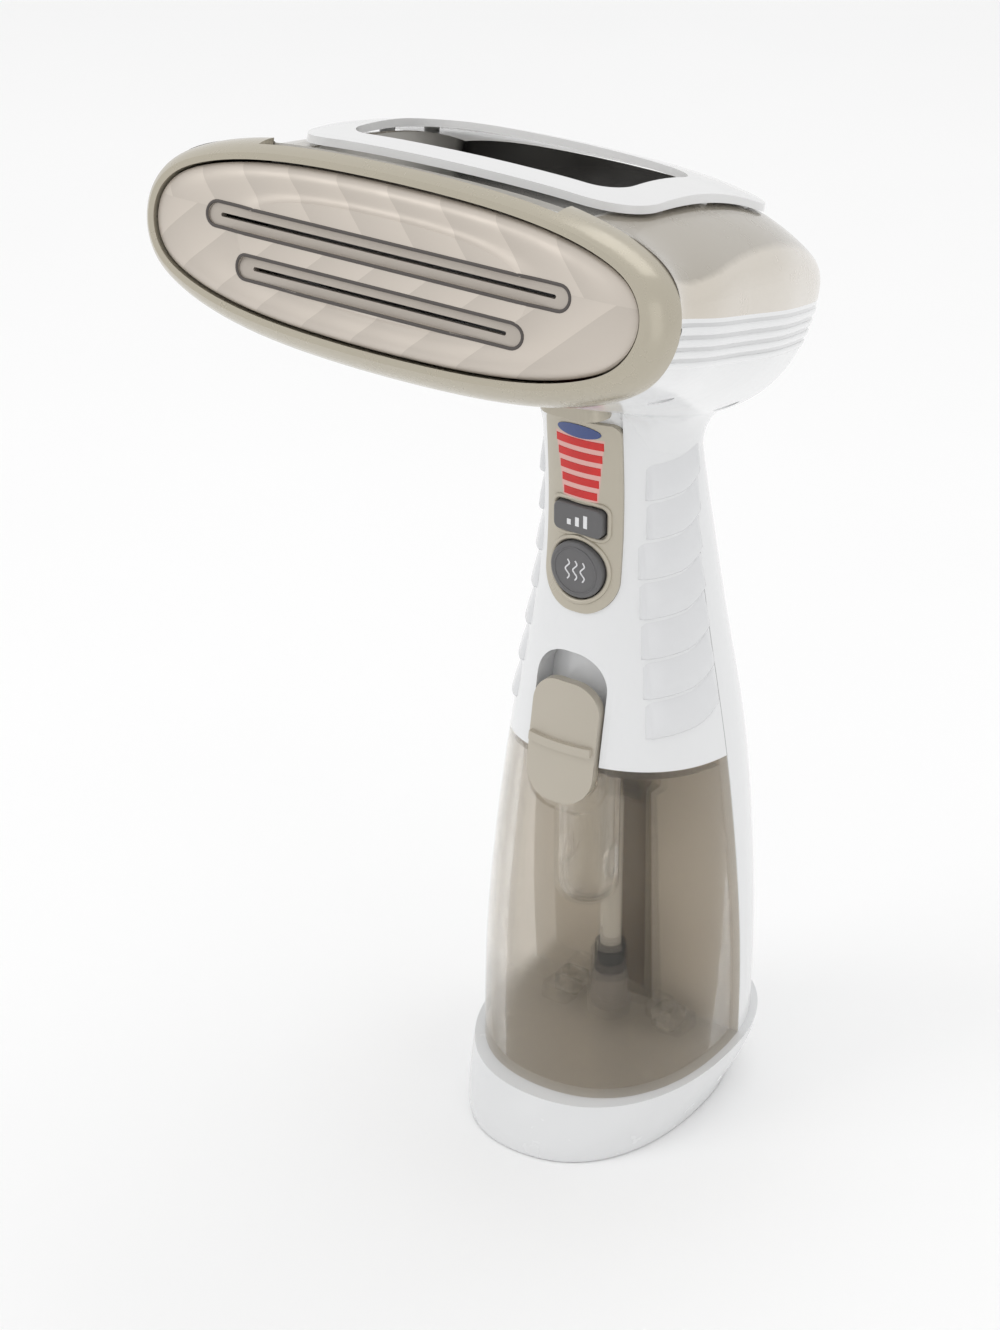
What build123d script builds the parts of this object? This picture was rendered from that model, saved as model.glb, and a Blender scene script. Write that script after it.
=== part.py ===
from build123d import *
import os
from math import copysign, cos, hypot, pi, radians, sin

# Hand-held garment steamer, millimetres.
# +Z is up, the steam plate faces -Y, X = 0 is the plane of symmetry.
# The origin is the centre of the handle's axis on the flat underside of the foot.

os.makedirs("parts", exist_ok=True)

# ---------------------------------------------------------------- driving dimensions
WALL = 2.0              # moulded housing wall
TANK_WALL = 1.8         # clear tank wall
GAP = 0.3               # clearance between pieces that move past each other
SNUG = 0.05             # clearance between pieces that are clamped together
BODY_POWER = 2.3        # roundness of the handle and tank outline, 2 is an ellipse

HEAD_TILT = 15.0        # the head's axis drops by this much towards the rear
FACE_Y = -108.0         # centre of the steam plate's face
FACE_Z = 286.0
PLATE_HALF_WIDTH = 69.3
PLATE_UP = 18.4
PLATE_DOWN = 20.2
PLATE_RIM_DEPTH = 3.5   # the face is domed by this much
PLATE_BACK = 8.0
PLATE_POWER = 2.6
PLATE_GROOVE = 0.7      # gap between the plate and its bezel
BEZEL_FRONT = 2.6
BEZEL_BACK = 11.0
SLOT_HEIGHT = 5.4
SLIT_HEIGHT = 1.0
SLOT_SINK = 1.4
# steam slots: half length, half length of the slit, height above the head's axis
STEAM_SLOTS = ((52.2, 48.5, 2.6), (41.3, 36.8, -8.3))

# head outline: depth behind the face, half width, height above and below the axis
HEAD = (
    (11.0, 75.5, 22.8, 27.0),
    (26.0, 74.0, 21.2, 28.5),
    (40.0, 72.0, 23.8, 31.0),
    (65.0, 67.0, 26.5, 35.0),
    (100.0, 58.5, 22.5, 40.0),
    (122.0, 51.0, 15.0, 42.0),
    (136.0, 42.5, 8.5, 39.5),
    (142.0, 34.0, 4.5, 35.0),
    (145.0, 22.0, 1.5, 26.0),
)
HEAD_POWER_UP = 3.0
HEAD_POWER_DOWN = 2.3
SPLIT_FRONT = 2.8       # height of the colour split at the front of the shell
SPLIT_SLOPE = 2.9       # the split drops towards the rear by this many degrees more

COVER_HALF_WIDTH = 50.0
COVER_FRONT = 24.0
COVER_BACK = 99.0
COVER_LIFT = 1.0        # air gap under the bridging cover
COVER_WALL = 2.0
WINDOW_HALF_WIDTH = 40.0
WINDOW_FRONT = 34.0
WINDOW_BACK = 72.0
RECESS_HALF_WIDTH = 43.0
RECESS_FRONT = 5.7
RECESS_BACK = 92.0
RECESS_FLOOR = 13.0
LINER_WALL = 1.2
# side view of the liner's floor: depth, height
LINER_FLOOR = (
    (5.7, 19.2), (8.9, 19.2), (16.0, 13.2), (91.8, 12.2),
    (91.8, 13.4), (16.5, 14.4), (9.2, 20.4), (5.7, 20.4),
)
COVER_FEET = ((46.5, 42.0), (46.5, 62.0), (46.5, 82.0))
CATCH_Z = 220.6
CATCH_WIDTH = 20.0
HEAD_SCREWS = ((52.0, 40.0), (-52.0, 40.0), (38.0, 99.0), (-38.0, 99.0))
BOSS_RADIUS = 4.0
SCREW_RADIUS = 1.5
SCREW_HEAD_RADIUS = 2.8
SCREW_HEAD = 2.0
SCREW_WELL = 9.0        # from the parting face down to the screw's head
SCREW_BITE = 8.0        # thread beyond the parting face

# boiler behind the plate: half width, reach above and below the axis
BOILER = (58.0, 11.6, 15.0)
BOILER_FRONT = 9.2
BOILER_BACK = 28.0
BOILER_COVER_BACK = 30.5
GASKET_HOLE = (55.0, 8.5, 11.0)
HEATER_DEPTH = 23.0
HEATER_RADIUS = 3.2
HEATER_ROWS = (4.6, -7.6)
HEATER_HALF = 44.0
HEATER_END = 37.0
INLET = (0.0, -1.5)     # water nipple: across and height in the head
INLET_END = 38.0
SHIELD_DEPTH = 42.0
HOSE_RADIUS = 2.8
HOSE_BORE = 1.6

# handle and tank outline: height, half width, front Y, rear Y, Y of the widest line
BODY = (
    (6.0, 35.8, -39.8, 41.0, 4.0),
    (16.0, 36.0, -39.4, 41.5, 4.0),
    (50.0, 36.3, -37.5, 42.0, 4.0),
    (85.0, 34.2, -34.2, 40.5, 4.5),
    (118.0, 30.5, -29.8, 37.5, 4.5),
    (148.0, 25.8, -25.0, 32.0, 3.5),
    (176.0, 22.0, -21.5, 27.0, 2.0),
    (200.0, 20.6, -21.3, 20.5, 0.0),
    (214.0, 20.4, -22.3, 17.0, -1.5),
    (242.0, 21.5, -24.0, 15.0, -3.0),
)
PARTING_LOW_Y = 12.0    # front edge of the rear housing at the foot
PARTING_LOW_Z = 16.0
PARTING_HIGH_Y = 2.5    # and at the neck
PARTING_HIGH_Z = 213.0
SEAM_Z = 119.5          # tank to handle seam at the front
SEAM_Y = -29.8
SEAM_TILT = 9.46        # the seam drops towards the rear
DECK_Z = 16.0           # top of the foot under the tank, at the front
DECK_Y = -39.4
DECK_TILT = 4.5         # the deck rises towards the rear

FOOT_HALF_WIDTH = 32.0
FOOT_FRONT = -51.0
FOOT_REAR = 39.0
FOOT_CENTRE = -6.0
PAD_THICK = 1.6

PANEL_WIDTH = 23.6
PANEL_BOTTOM = 161.8
PANEL_TOP = 217.5
STEAM_BUTTON_Z = 174.0
STEAM_BUTTON_RADIUS = 8.2
STEAM_BUTTON_FACE = -23.6
SETTING_BUTTON_Z = 188.6
SETTING_BUTTON_SIZE = (15.4, 8.2)
SETTING_BUTTON_FACE = -22.9
BUTTON_CLEARANCE = 0.4
LED_FIRST_Z = 196.0
LED_PITCH = 3.75
LED_COUNT = 5
LED_HEIGHT = 2.2
LED_WIDTHS = (10.4, 14.8)
LENS_Z = 214.4
LENS_SIZE = (13.6, 3.8)
BOARD_Y = -10.6
BOARD_THICK = 1.6

LATCH_WIDTH = 21.6
LATCH_BOTTOM = 107.2
LATCH_TOP = 142.0
LATCH_RIDGE_Z = 124.0
LATCH_PROUD = 1.5
LATCH_BACK = 1.0        # depth of the latch's back face below the outline
CARRIER_FRONT = 1.4
CARRIER_BACK = 6.4
CARRIER_WIDTH = 13.0
CARRIER_TOP = 137.0
BED_DEPTH = 6.9
BED_TOP = 150.0
LUG_WIDTH = 3.4
LUG_HEIGHT = 2.6
LUG_Z = 121.4
SPRING_WIRE = 0.45

TUBE_Y = -2.4
TUBE_RADIUS = 3.1
TUBE_BORE = 2.0
TUBE_BOTTOM = 31.0
CUP_Y = -14.6
CUP_RADIUS = 8.6
CUP_BOTTOM = 68.0
OUTLET_Z = 103.0
NOZZLE_RADIUS = 3.0
FILL_RADIUS = 6.4
CLIP_PLACES = ((17.0, 3.0), (-17.0, 3.0))

PUMP_Y = 8.0
PUMP_BOTTOM = 128.0
PUMP_TOP = 162.0
PUMP_RADIUS = 5.2
PUMP_BORE = 3.6
PLUNGER_CLEARANCE = 0.06
PLUNGER_BOTTOM = 134.0
PLUNGER_TOP = 148.0
COIL_BOTTOM = 137.0
COIL_TOP = 153.0
COIL_RADIUS = 10.0
YOKE = 1.5
# places on the parting face: across, and up from the face's lower end
HANDLE_SCREWS = ((15.8, 127.0), (-15.8, 127.0), (13.2, 186.0), (-13.2, 186.0))
HANDLE_WELL = 6.0
BOILER_SCREWS = ((52.0, -1.5), (-52.0, -1.5), (38.0, -1.5), (-38.0, -1.5))

BUTTON_REAR = -18.4     # back face of both keys
STEM_END = -16.4
BOARD_LOW = 164.0
BOARD_HIGH = 217.0
BOARD_WIDTH = 18.0
SWITCH_BODY = 3.2
SWITCH_STEM = 1.2
BED_WIDTH = 26.0
BED_WALL = 1.6
RECESS_SIDE = 0.6

LID_THICK = 2.5
NOZZLE_END = 14.5
SOCKET_FRONT = 8.1
SOCKET_LENGTH = 10.0
SOCKET_BORE_LENGTH = 8.0
SOCKET_RADIUS = 4.6
GLAND_Z = 32.0
GLAND_RADIUS = 6.0
GLAND_BORE = 3.6
SEAL_Y = 10.6
SEAL_WIDTH = 1.6
SEAL_INNER = 2.2
SPRING_Y = -24.6
FOOT_WALL = 2.5
FOOT_SCREWS = ((22.5, 68.1), (-22.5, 68.1))
BODY_REAR = 42.2


# ---------------------------------------------------------------- frames and outlines
def turned(normal_y, normal_z, y, z):
    """A plane through (0, y, z) with +X across and its normal in the YZ plane."""
    size = hypot(normal_y, normal_z)
    return Plane(origin=(0, y, z), x_dir=(1, 0, 0), z_dir=(0, normal_y / size, normal_z / size))


TILT = radians(HEAD_TILT)
# the face plane looks forwards, so a depth behind the face is a negative offset
FACE = turned(-cos(TILT), sin(TILT), FACE_Y, FACE_Z)


def at_depth(depth):
    """The head's cross-section plane at a depth behind the face."""
    return FACE.offset(-depth)


def head_point(across, depth, height):
    """A point given across, behind and above the head's axis, in the shared frame."""
    return Vector(
        across,
        FACE_Y + depth * cos(TILT) + height * sin(TILT),
        FACE_Z - depth * sin(TILT) + height * cos(TILT),
    )


def head_top_plane(height):
    """A plane parallel to the head's axis: X across, Y towards the rear."""
    return Plane(origin=head_point(0, 0, height), x_dir=(1, 0, 0), z_dir=(0, sin(TILT), cos(TILT)))


SPLIT_TILT = radians(HEAD_TILT + SPLIT_SLOPE)
SPLIT_POINT = head_point(0, BEZEL_BACK, SPLIT_FRONT)
SPLIT = turned(sin(SPLIT_TILT), cos(SPLIT_TILT), SPLIT_POINT.Y, SPLIT_POINT.Z)
SEAM = turned(sin(radians(SEAM_TILT)), cos(radians(SEAM_TILT)), SEAM_Y, SEAM_Z)
DECK = turned(-sin(radians(DECK_TILT)), cos(radians(DECK_TILT)), DECK_Y, DECK_Z)
PARTING = turned(
    PARTING_HIGH_Z - PARTING_LOW_Z, PARTING_LOW_Y - PARTING_HIGH_Y, PARTING_LOW_Y, PARTING_LOW_Z
)


# faces forwards, X across and Z up
CONTROL_PLANE = Plane(origin=(0, 0, 0), x_dir=(1, 0, 0), z_dir=(0, -1, 0))
# faces forwards too, so that the handle's screws are driven from the rear
SCREW_FACE = turned(
    PARTING_LOW_Z - PARTING_HIGH_Z, PARTING_HIGH_Y - PARTING_LOW_Y, PARTING_LOW_Y, PARTING_LOW_Z
)


def parting_y(height):
    """Y of the parting plane at a height."""
    slope = (PARTING_HIGH_Y - PARTING_LOW_Y) / (PARTING_HIGH_Z - PARTING_LOW_Z)
    return PARTING_LOW_Y + slope * (height - PARTING_LOW_Z)


def rounded(value, power):
    """The superellipse's version of a sine or a cosine."""
    return copysign(abs(value) ** (2 / power), value)


def oval(plane, half_x, up, down, power_up, power_down, centre=0.0, steps=24):
    """A smooth oval face whose upper and lower halves may differ."""
    path = []
    for step in range(steps):
        turn = 2 * pi * (step + 0.5) / steps
        upper = sin(turn) > 0
        power = power_up if upper else power_down
        reach = up if upper else down
        path.append((half_x * rounded(cos(turn), power), centre + reach * rounded(sin(turn), power)))
    with BuildSketch(plane) as face:
        with BuildLine():
            Spline(*path, periodic=True)
        make_face()
    return face.sketch


def head_solid(grow=0.0):
    """The head's outside, from the bezel to the rear, grown or pulled in."""
    faces = []
    for depth, half_width, up, down in HEAD:
        sizes = (half_width + grow, max(up + grow, 0.6), down + grow)
        inward = grow * (1 if depth > HEAD[-3][0] else 0)
        faces.append(oval(at_depth(depth + inward), *sizes, HEAD_POWER_UP, HEAD_POWER_DOWN))
    with BuildPart() as solid:
        loft(faces)
    return solid.part


def body_solid(grow=0.0):
    """The handle and tank's outside, from below the deck to inside the head."""
    faces = []
    for height, half_x, front, rear, centre in BODY:
        plane = Plane.XY.offset(height)
        sizes = (half_x + grow, rear - centre + grow, centre - front + grow)
        faces.append(oval(plane, *sizes, BODY_POWER, BODY_POWER, centre))
    with BuildPart() as solid:
        loft(faces)
    return solid.part


def plate_oval(depth, grow=0.0):
    """The steam plate's outline at a depth, grown or pulled in."""
    sizes = (PLATE_HALF_WIDTH + grow, PLATE_UP + grow, PLATE_DOWN + grow)
    return oval(at_depth(depth), *sizes, PLATE_POWER, PLATE_POWER)


def tube_path(points, radii):
    """A path of straight runs joined by arcs."""
    with BuildLine() as line:
        FilletPolyline(*points, radius=radii)
    return line.wire()


def ring_plane(path):
    """The plane across a path's start."""
    return Plane(origin=path @ 0, z_dir=path % 0)


def head_side_plane():
    """The plane of symmetry with depth along its X and height along its Y."""
    origin = head_point(0, 0, 0)
    return Plane(origin=origin, x_dir=head_point(0, 1, 0) - origin, z_dir=(1, 0, 0))


def front_prism(width, bottom, top, top_radius=0.0, bottom_radius=0.0, back=0.0):
    """A block from the front of the body back to a given Y, with rounded corners."""
    with BuildPart() as block:
        with BuildSketch(CONTROL_PLANE.offset(-back)) as outline:
            with Locations((0, (bottom + top) / 2)):
                Rectangle(width, top - bottom)
            if top_radius:
                fillet(outline.vertices().group_by(Axis.Y)[-1], top_radius)
            if bottom_radius:
                fillet(outline.vertices().group_by(Axis.Y)[0], bottom_radius)
        extrude(amount=60 + back)
    return block.part


def front_skin(outer, inner, prism):
    """The part of a prism that lies between two grown copies of the body."""
    with BuildPart() as skin:
        add(prism)
        add(body_solid(outer), mode=Mode.INTERSECT)
        add(body_solid(inner), mode=Mode.SUBTRACT)
    return skin.part


def head_bosses(keep):
    """Screw bosses on one side of the split, each run out to the head's skin."""
    side = 1 if keep == Keep.TOP else -1
    with BuildPart() as bosses:
        with BuildSketch(SPLIT):
            with Locations(*HEAD_SCREWS):
                Circle(BOSS_RADIUS)
        extrude(amount=side * 60)
        add(HEAD_OUTSIDE, mode=Mode.INTERSECT)
        with BuildSketch(SPLIT):
            with Locations(*HEAD_SCREWS):
                Circle(SCREW_RADIUS + (0 if side > 0 else SNUG))
        extrude(amount=side * (SCREW_WELL + 1), mode=Mode.SUBTRACT)
    return bosses.part


def handle_bosses(keep):
    """Screw bosses on one side of the handle's parting, run out to the skin."""
    side = 1 if keep == Keep.BOTTOM else -1
    with BuildPart() as bosses:
        with BuildSketch(SCREW_FACE):
            with Locations(*HANDLE_SCREWS):
                Circle(BOSS_RADIUS - 0.4)
        extrude(amount=side * 60)
        add(BODY_OUTSIDE, mode=Mode.INTERSECT)
        with BuildSketch(SCREW_FACE):
            with Locations(*HANDLE_SCREWS):
                Circle(SCREW_RADIUS + (0 if side > 0 else SNUG))
        extrude(amount=side * (SCREW_WELL + 1), mode=Mode.SUBTRACT)
        add(PANEL_ROOM, mode=Mode.SUBTRACT)
    return bosses.part


def heater_rod(grow):
    """The heater's sheathed rod, bent into a U with its ends turned back."""
    high, low = HEATER_ROWS
    corners = (
        (HEATER_HALF, HEATER_END, high), (HEATER_HALF, HEATER_DEPTH, high),
        (-HEATER_HALF, HEATER_DEPTH, high), (-HEATER_HALF, HEATER_DEPTH, low),
        (HEATER_HALF, HEATER_DEPTH, low), (HEATER_HALF, HEATER_END, low),
    )
    path = tube_path([head_point(*corner) for corner in corners], 5)
    with BuildPart() as rod:
        with BuildSketch(ring_plane(path)):
            Circle(HEATER_RADIUS + grow)
        sweep(path=path)
    return rod.part


def button_foot(height, half_width):
    """The stem that meets the switch, and two tabs that keep the key behind the panel."""
    with BuildPart() as foot:
        with BuildSketch(Plane.XZ.offset(-BUTTON_REAR)):
            with Locations((0, height)):
                Circle(2)
        extrude(amount=BUTTON_REAR - STEM_END)
        with BuildSketch(Plane.XZ.offset(-BUTTON_REAR + 0.2)):
            for side in (-1, 1):
                with Locations((side * (half_width - 0.4), height)):
                    Rectangle(2.6, 4)
        extrude(amount=-1.2)
    return foot.part


def tank_region(grow, low, high, rear):
    """The tank's space, pulled in, between the deck and the seam and in front of the rear."""
    with BuildPart() as region:
        add(body_solid(grow))
        split(bisect_by=DECK.offset(low), keep=Keep.TOP)
        split(bisect_by=SEAM.offset(high), keep=Keep.BOTTOM)
        split(bisect_by=PARTING.offset(rear), keep=Keep.BOTTOM)
    return region.part


def coil_spring(x, y, bottom, top, radius, turns):
    """A round-wire compression spring, upright."""
    height = top - bottom - SPRING_WIRE
    start = (x, y, bottom + SPRING_WIRE / 2)
    with BuildPart() as coil:
        with BuildLine() as line:
            Helix(pitch=height / turns, height=height, radius=radius, center=start)
        with BuildSketch(ring_plane(line.line)):
            Circle(SPRING_WIRE / 2)
        sweep(path=line.line, is_frenet=True)
    return coil.part


def hose(points, radii):
    """A hollow hose along straight runs joined by arcs."""
    path = tube_path(points, radii)
    with BuildPart() as tube:
        with BuildSketch(ring_plane(path)):
            Circle(HOSE_RADIUS)
            Circle(HOSE_BORE, mode=Mode.SUBTRACT)
        sweep(path=path)
    return tube.part


def screw_group(plane, places, well, bite):
    """Pan-head screws: shanks across the parting face, heads at the bottom of their wells."""
    with BuildPart() as screws:
        for place in places:
            with BuildSketch(plane.offset(-well)):
                with Locations(place):
                    Circle(SCREW_RADIUS)
            extrude(amount=well + bite)
            with BuildSketch(plane.offset(-well)):
                with Locations(place):
                    Circle(SCREW_HEAD_RADIUS)
            extrude(amount=-SCREW_HEAD)
    return screws.part


HEAD_OUTSIDE = head_solid()
HEAD_INSIDE = head_solid(-WALL)
BODY_OUTSIDE = body_solid()
BODY_INSIDE = body_solid(-WALL)
LED_ROWS = [
    (
        LED_FIRST_Z + LED_PITCH * row,
        LED_WIDTHS[0] + (LED_WIDTHS[1] - LED_WIDTHS[0]) * row / (LED_COUNT - 1),
    )
    for row in range(LED_COUNT)
]

# the air under the bridging cover, with its feet left out of it
with BuildPart() as cover_air:
    add(head_solid(COVER_LIFT))
    with BuildSketch(head_top_plane(0)):
        for across, depth in COVER_FEET:
            with Locations((across, depth), (-across, depth)):
                Circle(2)
    extrude(amount=50, mode=Mode.SUBTRACT)
COVER_AIR = cover_air.part

# the latch's bed in the handle, the panel's seat and the window behind the panel
LATCH_BED = front_skin(0, -BED_DEPTH - BED_WALL, front_prism(BED_WIDTH, 100, BED_TOP + 1.6, 12))
BED_RECESS = front_skin(
    6, -BED_DEPTH, front_prism(LATCH_WIDTH + 2 * RECESS_SIDE, 90, BED_TOP, 10)
)
PANEL_ROOM = front_prism(PANEL_WIDTH - 3.6, PANEL_BOTTOM + 2, PANEL_TOP + 1, 2, 8, -9)
PANEL_WINDOW = front_prism(PANEL_WIDTH - 3.6, PANEL_BOTTOM + 2, PANEL_TOP - 2, 2, 8, -12)
PANEL_SKIN = front_skin(0.6, -1.0, front_prism(PANEL_WIDTH, PANEL_BOTTOM, PANEL_TOP, 3, 10.5))
PANEL_SEAT = front_skin(
    6, -1.0, front_prism(PANEL_WIDTH + 2 * SNUG, PANEL_BOTTOM - SNUG, PANEL_TOP + 8, 3, 10.5)
)

# the rear housing's inside: behind a wall beside the tank, open to the handle above it
with BuildPart() as rear_room:
    add(BODY_INSIDE)
    split(bisect_by=PARTING.offset(BED_WALL), keep=Keep.TOP)
with BuildPart() as handle_room:
    add(BODY_INSIDE)
    split(bisect_by=SEAM, keep=Keep.TOP)

# hose routes, in the plane of symmetry
SUCTION_ROUTE = (
    (0, SOCKET_FRONT + SOCKET_LENGTH + SNUG, OUTLET_Z), (0, 27, OUTLET_Z), (0, 27, 119.3),
    (0, PUMP_Y, 119.3), (0, PUMP_Y, PUMP_BOTTOM - SNUG),
)
PRESSURE_ROUTE = (
    (0, PUMP_Y, PUMP_TOP + SNUG), (0, PUMP_Y - 1, 240), head_point(0, 78, INLET[1]),
    head_point(0, BOILER_COVER_BACK + SNUG, INLET[1]),
)

# ---------------------------------------------------------------- head
with BuildPart() as steam_plate:
    # domed face on a skirt, hollow behind, with two sunk slots that are slit through
    loft([plate_oval(PLATE_BACK), plate_oval(PLATE_RIM_DEPTH)])
    dome = ((PLATE_RIM_DEPTH, 1.0), (1.9, 0.955), (0.8, 0.84), (0.0, 0.6))
    loft([
        oval(at_depth(depth), PLATE_HALF_WIDTH * k, PLATE_UP * k, PLATE_DOWN * k,
             PLATE_POWER, PLATE_POWER)
        for depth, k in dome
    ])
    extrude(plate_oval(PLATE_BACK, -3), amount=PLATE_BACK - PLATE_RIM_DEPTH, mode=Mode.SUBTRACT)
    for half_length, half_slit, height in STEAM_SLOTS:
        with BuildSketch(at_depth(SLOT_SINK)):
            with Locations((0, height)):
                SlotOverall(2 * half_length, SLOT_HEIGHT)
        extrude(amount=PLATE_RIM_DEPTH, mode=Mode.SUBTRACT)
        with BuildSketch(at_depth(PLATE_BACK)):
            with Locations((0, height)):
                SlotOverall(2 * half_slit, SLIT_HEIGHT)
        extrude(amount=PLATE_BACK, mode=Mode.SUBTRACT)

with BuildPart() as plate_bezel:
    # the frame round the plate; its top is notched for the recess under the cover
    loft([
        oval(at_depth(BEZEL_FRONT), 71.7, 20.8, 22.6, PLATE_POWER, PLATE_POWER),
        oval(at_depth(5.4), 74.3, 22.8, 25.2, PLATE_POWER, PLATE_POWER),
        oval(at_depth(BEZEL_BACK), 76.0, 24.3, 27.2, PLATE_POWER, PLATE_POWER),
    ])
    extrude(plate_oval(BEZEL_BACK + 1, PLATE_GROOVE), amount=BEZEL_BACK, mode=Mode.SUBTRACT)
    with BuildSketch(at_depth(BEZEL_BACK + 1)):
        with Locations((0, 25)):
            Rectangle(2 * RECESS_HALF_WIDTH, 22)
    extrude(amount=BEZEL_BACK + 1 - 5.4, mode=Mode.SUBTRACT)


with BuildPart() as head_upper_shell:
    # coloured upper half, open at the front for the boiler and on top for the recess
    add(HEAD_OUTSIDE)
    add(HEAD_INSIDE, mode=Mode.SUBTRACT)
    split(bisect_by=SPLIT, keep=Keep.TOP)
    with BuildSketch(head_top_plane(60)):
        with Locations((0, (RECESS_FRONT + RECESS_BACK) / 2)):
            Rectangle(2 * RECESS_HALF_WIDTH, RECESS_BACK - RECESS_FRONT)
    extrude(amount=-52, mode=Mode.SUBTRACT)
    add(head_bosses(Keep.TOP))

with BuildPart() as head_lower_shell:
    # white bowl that runs down into the neck
    add(HEAD_OUTSIDE)
    add(HEAD_INSIDE, mode=Mode.SUBTRACT)
    split(bisect_by=SPLIT, keep=Keep.BOTTOM)
    add(BODY_INSIDE, mode=Mode.SUBTRACT)
    add(head_bosses(Keep.BOTTOM))
    with BuildSketch(SPLIT.offset(-SCREW_WELL)):
        with Locations(*HEAD_SCREWS):
            Circle(SCREW_HEAD_RADIUS + GAP)
    extrude(amount=-40, mode=Mode.SUBTRACT)

with BuildPart() as top_recess_liner:
    # dark tray hung in the upper shell's opening, under the bridging cover
    with BuildSketch(head_top_plane(RECESS_FLOOR)):
        with Locations((0, (BEZEL_BACK + RECESS_BACK) / 2)):
            width = 2 * (RECESS_HALF_WIDTH - 0.2)
            length = RECESS_BACK - BEZEL_BACK - 0.4
            Rectangle(width, length)
            Rectangle(width - 2 * LINER_WALL, length - 2 * LINER_WALL, mode=Mode.SUBTRACT)
    extrude(amount=20)
    add(head_solid(-0.3), mode=Mode.INTERSECT)
    with BuildSketch(head_side_plane()):
        Polygon(*LINER_FLOOR, align=None)
    extrude(amount=RECESS_HALF_WIDTH - 0.2, both=True)

with BuildPart() as top_cover:
    # bridging cover, carried on small feet above the shell, with a large window
    with BuildSketch(head_top_plane(0)):
        with Locations((0, (COVER_FRONT + COVER_BACK) / 2)):
            RectangleRounded(2 * COVER_HALF_WIDTH, COVER_BACK - COVER_FRONT, 14)
        with Locations((0, (WINDOW_FRONT + WINDOW_BACK) / 2)):
            size = (2 * WINDOW_HALF_WIDTH, WINDOW_BACK - WINDOW_FRONT)
            RectangleRounded(*size, 8, mode=Mode.SUBTRACT)
    extrude(amount=50)
    add(head_solid(COVER_LIFT + COVER_WALL), mode=Mode.INTERSECT)
    add(COVER_AIR, mode=Mode.SUBTRACT)
    add(HEAD_OUTSIDE, mode=Mode.SUBTRACT)

with BuildPart() as attachment_catch:
    # duck-bill lip at the top of the neck that brush heads clip under
    with BuildSketch(Plane.XY.offset(CATCH_Z)):
        with Locations((0, -24)):
            SlotOverall(CATCH_WIDTH, 12)
    extrude(amount=5, taper=12)
    add(BODY_OUTSIDE, mode=Mode.SUBTRACT)
    add(HEAD_OUTSIDE, mode=Mode.SUBTRACT)

with BuildPart() as boiler_block:
    # cast block with a steam chamber in front and the heater cast in behind it
    extrude(oval(at_depth(BOILER_BACK), *BOILER, PLATE_POWER, PLATE_POWER),
            amount=BOILER_BACK - BOILER_FRONT)
    chamber = (BOILER[0] - 5, BOILER[1] - 5, BOILER[2] - 5)
    extrude(oval(at_depth(BOILER_FRONT + 5), *chamber, PLATE_POWER, PLATE_POWER), amount=5,
            mode=Mode.SUBTRACT)
    add(heater_rod(SNUG), mode=Mode.SUBTRACT)
    with BuildSketch(at_depth(BOILER_BACK)):
        with Locations(*BOILER_SCREWS):
            Circle(SCREW_RADIUS)
    extrude(amount=SCREW_BITE, mode=Mode.SUBTRACT)
    with BuildSketch(at_depth(BOILER_BACK)):
        with Locations(INLET):
            Circle(0.9)
    extrude(amount=BOILER_BACK - BOILER_FRONT, mode=Mode.SUBTRACT)

with BuildPart() as plate_gasket:
    # flat ring squeezed between the plate's skirt and the boiler
    extrude(plate_oval(BOILER_FRONT - SNUG, -1.0), amount=BOILER_FRONT - PLATE_BACK - 2 * SNUG)
    extrude(oval(at_depth(BOILER_FRONT + 1), *GASKET_HOLE, PLATE_POWER, PLATE_POWER), amount=3,
            mode=Mode.SUBTRACT)

with BuildPart() as boiler_cover:
    # lid over the back of the block, with the water nipple
    extrude(oval(at_depth(BOILER_COVER_BACK), *BOILER, PLATE_POWER, PLATE_POWER),
            amount=BOILER_COVER_BACK - BOILER_BACK)
    with BuildSketch(at_depth(INLET_END)):
        with Locations(INLET):
            Circle(HOSE_BORE - SNUG)
    extrude(amount=INLET_END - BOILER_COVER_BACK)
    with BuildSketch(at_depth(INLET_END + 1)):
        with Locations(INLET):
            Circle(0.9)
        with Locations(*BOILER_SCREWS):
            Circle(SCREW_RADIUS + SNUG)
        with Locations(*[(HEATER_HALF, row) for row in HEATER_ROWS]):
            Circle(HEATER_RADIUS + SNUG)
    extrude(amount=INLET_END + 1 - BOILER_BACK + 1, mode=Mode.SUBTRACT)

with BuildPart() as heating_element:
    add(heater_rod(0))

with BuildPart() as boiler_screws:
    # four screws that close the boiler
    add(screw_group(at_depth(BOILER_BACK), BOILER_SCREWS,
                    BOILER_COVER_BACK - BOILER_BACK, SCREW_BITE))

with BuildPart() as thermostat:
    # snap-disc switch on the boiler cover
    with BuildSketch(at_depth(BOILER_COVER_BACK)):
        with Locations((-26, -1)):
            Circle(7)
    extrude(amount=-3.5)
    with BuildSketch(at_depth(BOILER_COVER_BACK + 3.5)):
        with Locations((-26, 3.5), (-26, -5.5)):
            Rectangle(6.3, 0.8)
    extrude(amount=-5)

with BuildPart() as thermal_fuse:
    # one-shot fuse clipped flat against the boiler cover
    with BuildSketch(Plane(origin=head_point(14, BOILER_COVER_BACK + 2.3, -1.5), x_dir=(0, 1, 0),
                           z_dir=(1, 0, 0))):
        Circle(2.2)
    extrude(amount=12)
    with BuildSketch(Plane(origin=head_point(9, BOILER_COVER_BACK + 2.3, -1.5), x_dir=(0, 1, 0),
                           z_dir=(1, 0, 0))):
        Circle(0.6)
    extrude(amount=22)

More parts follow.
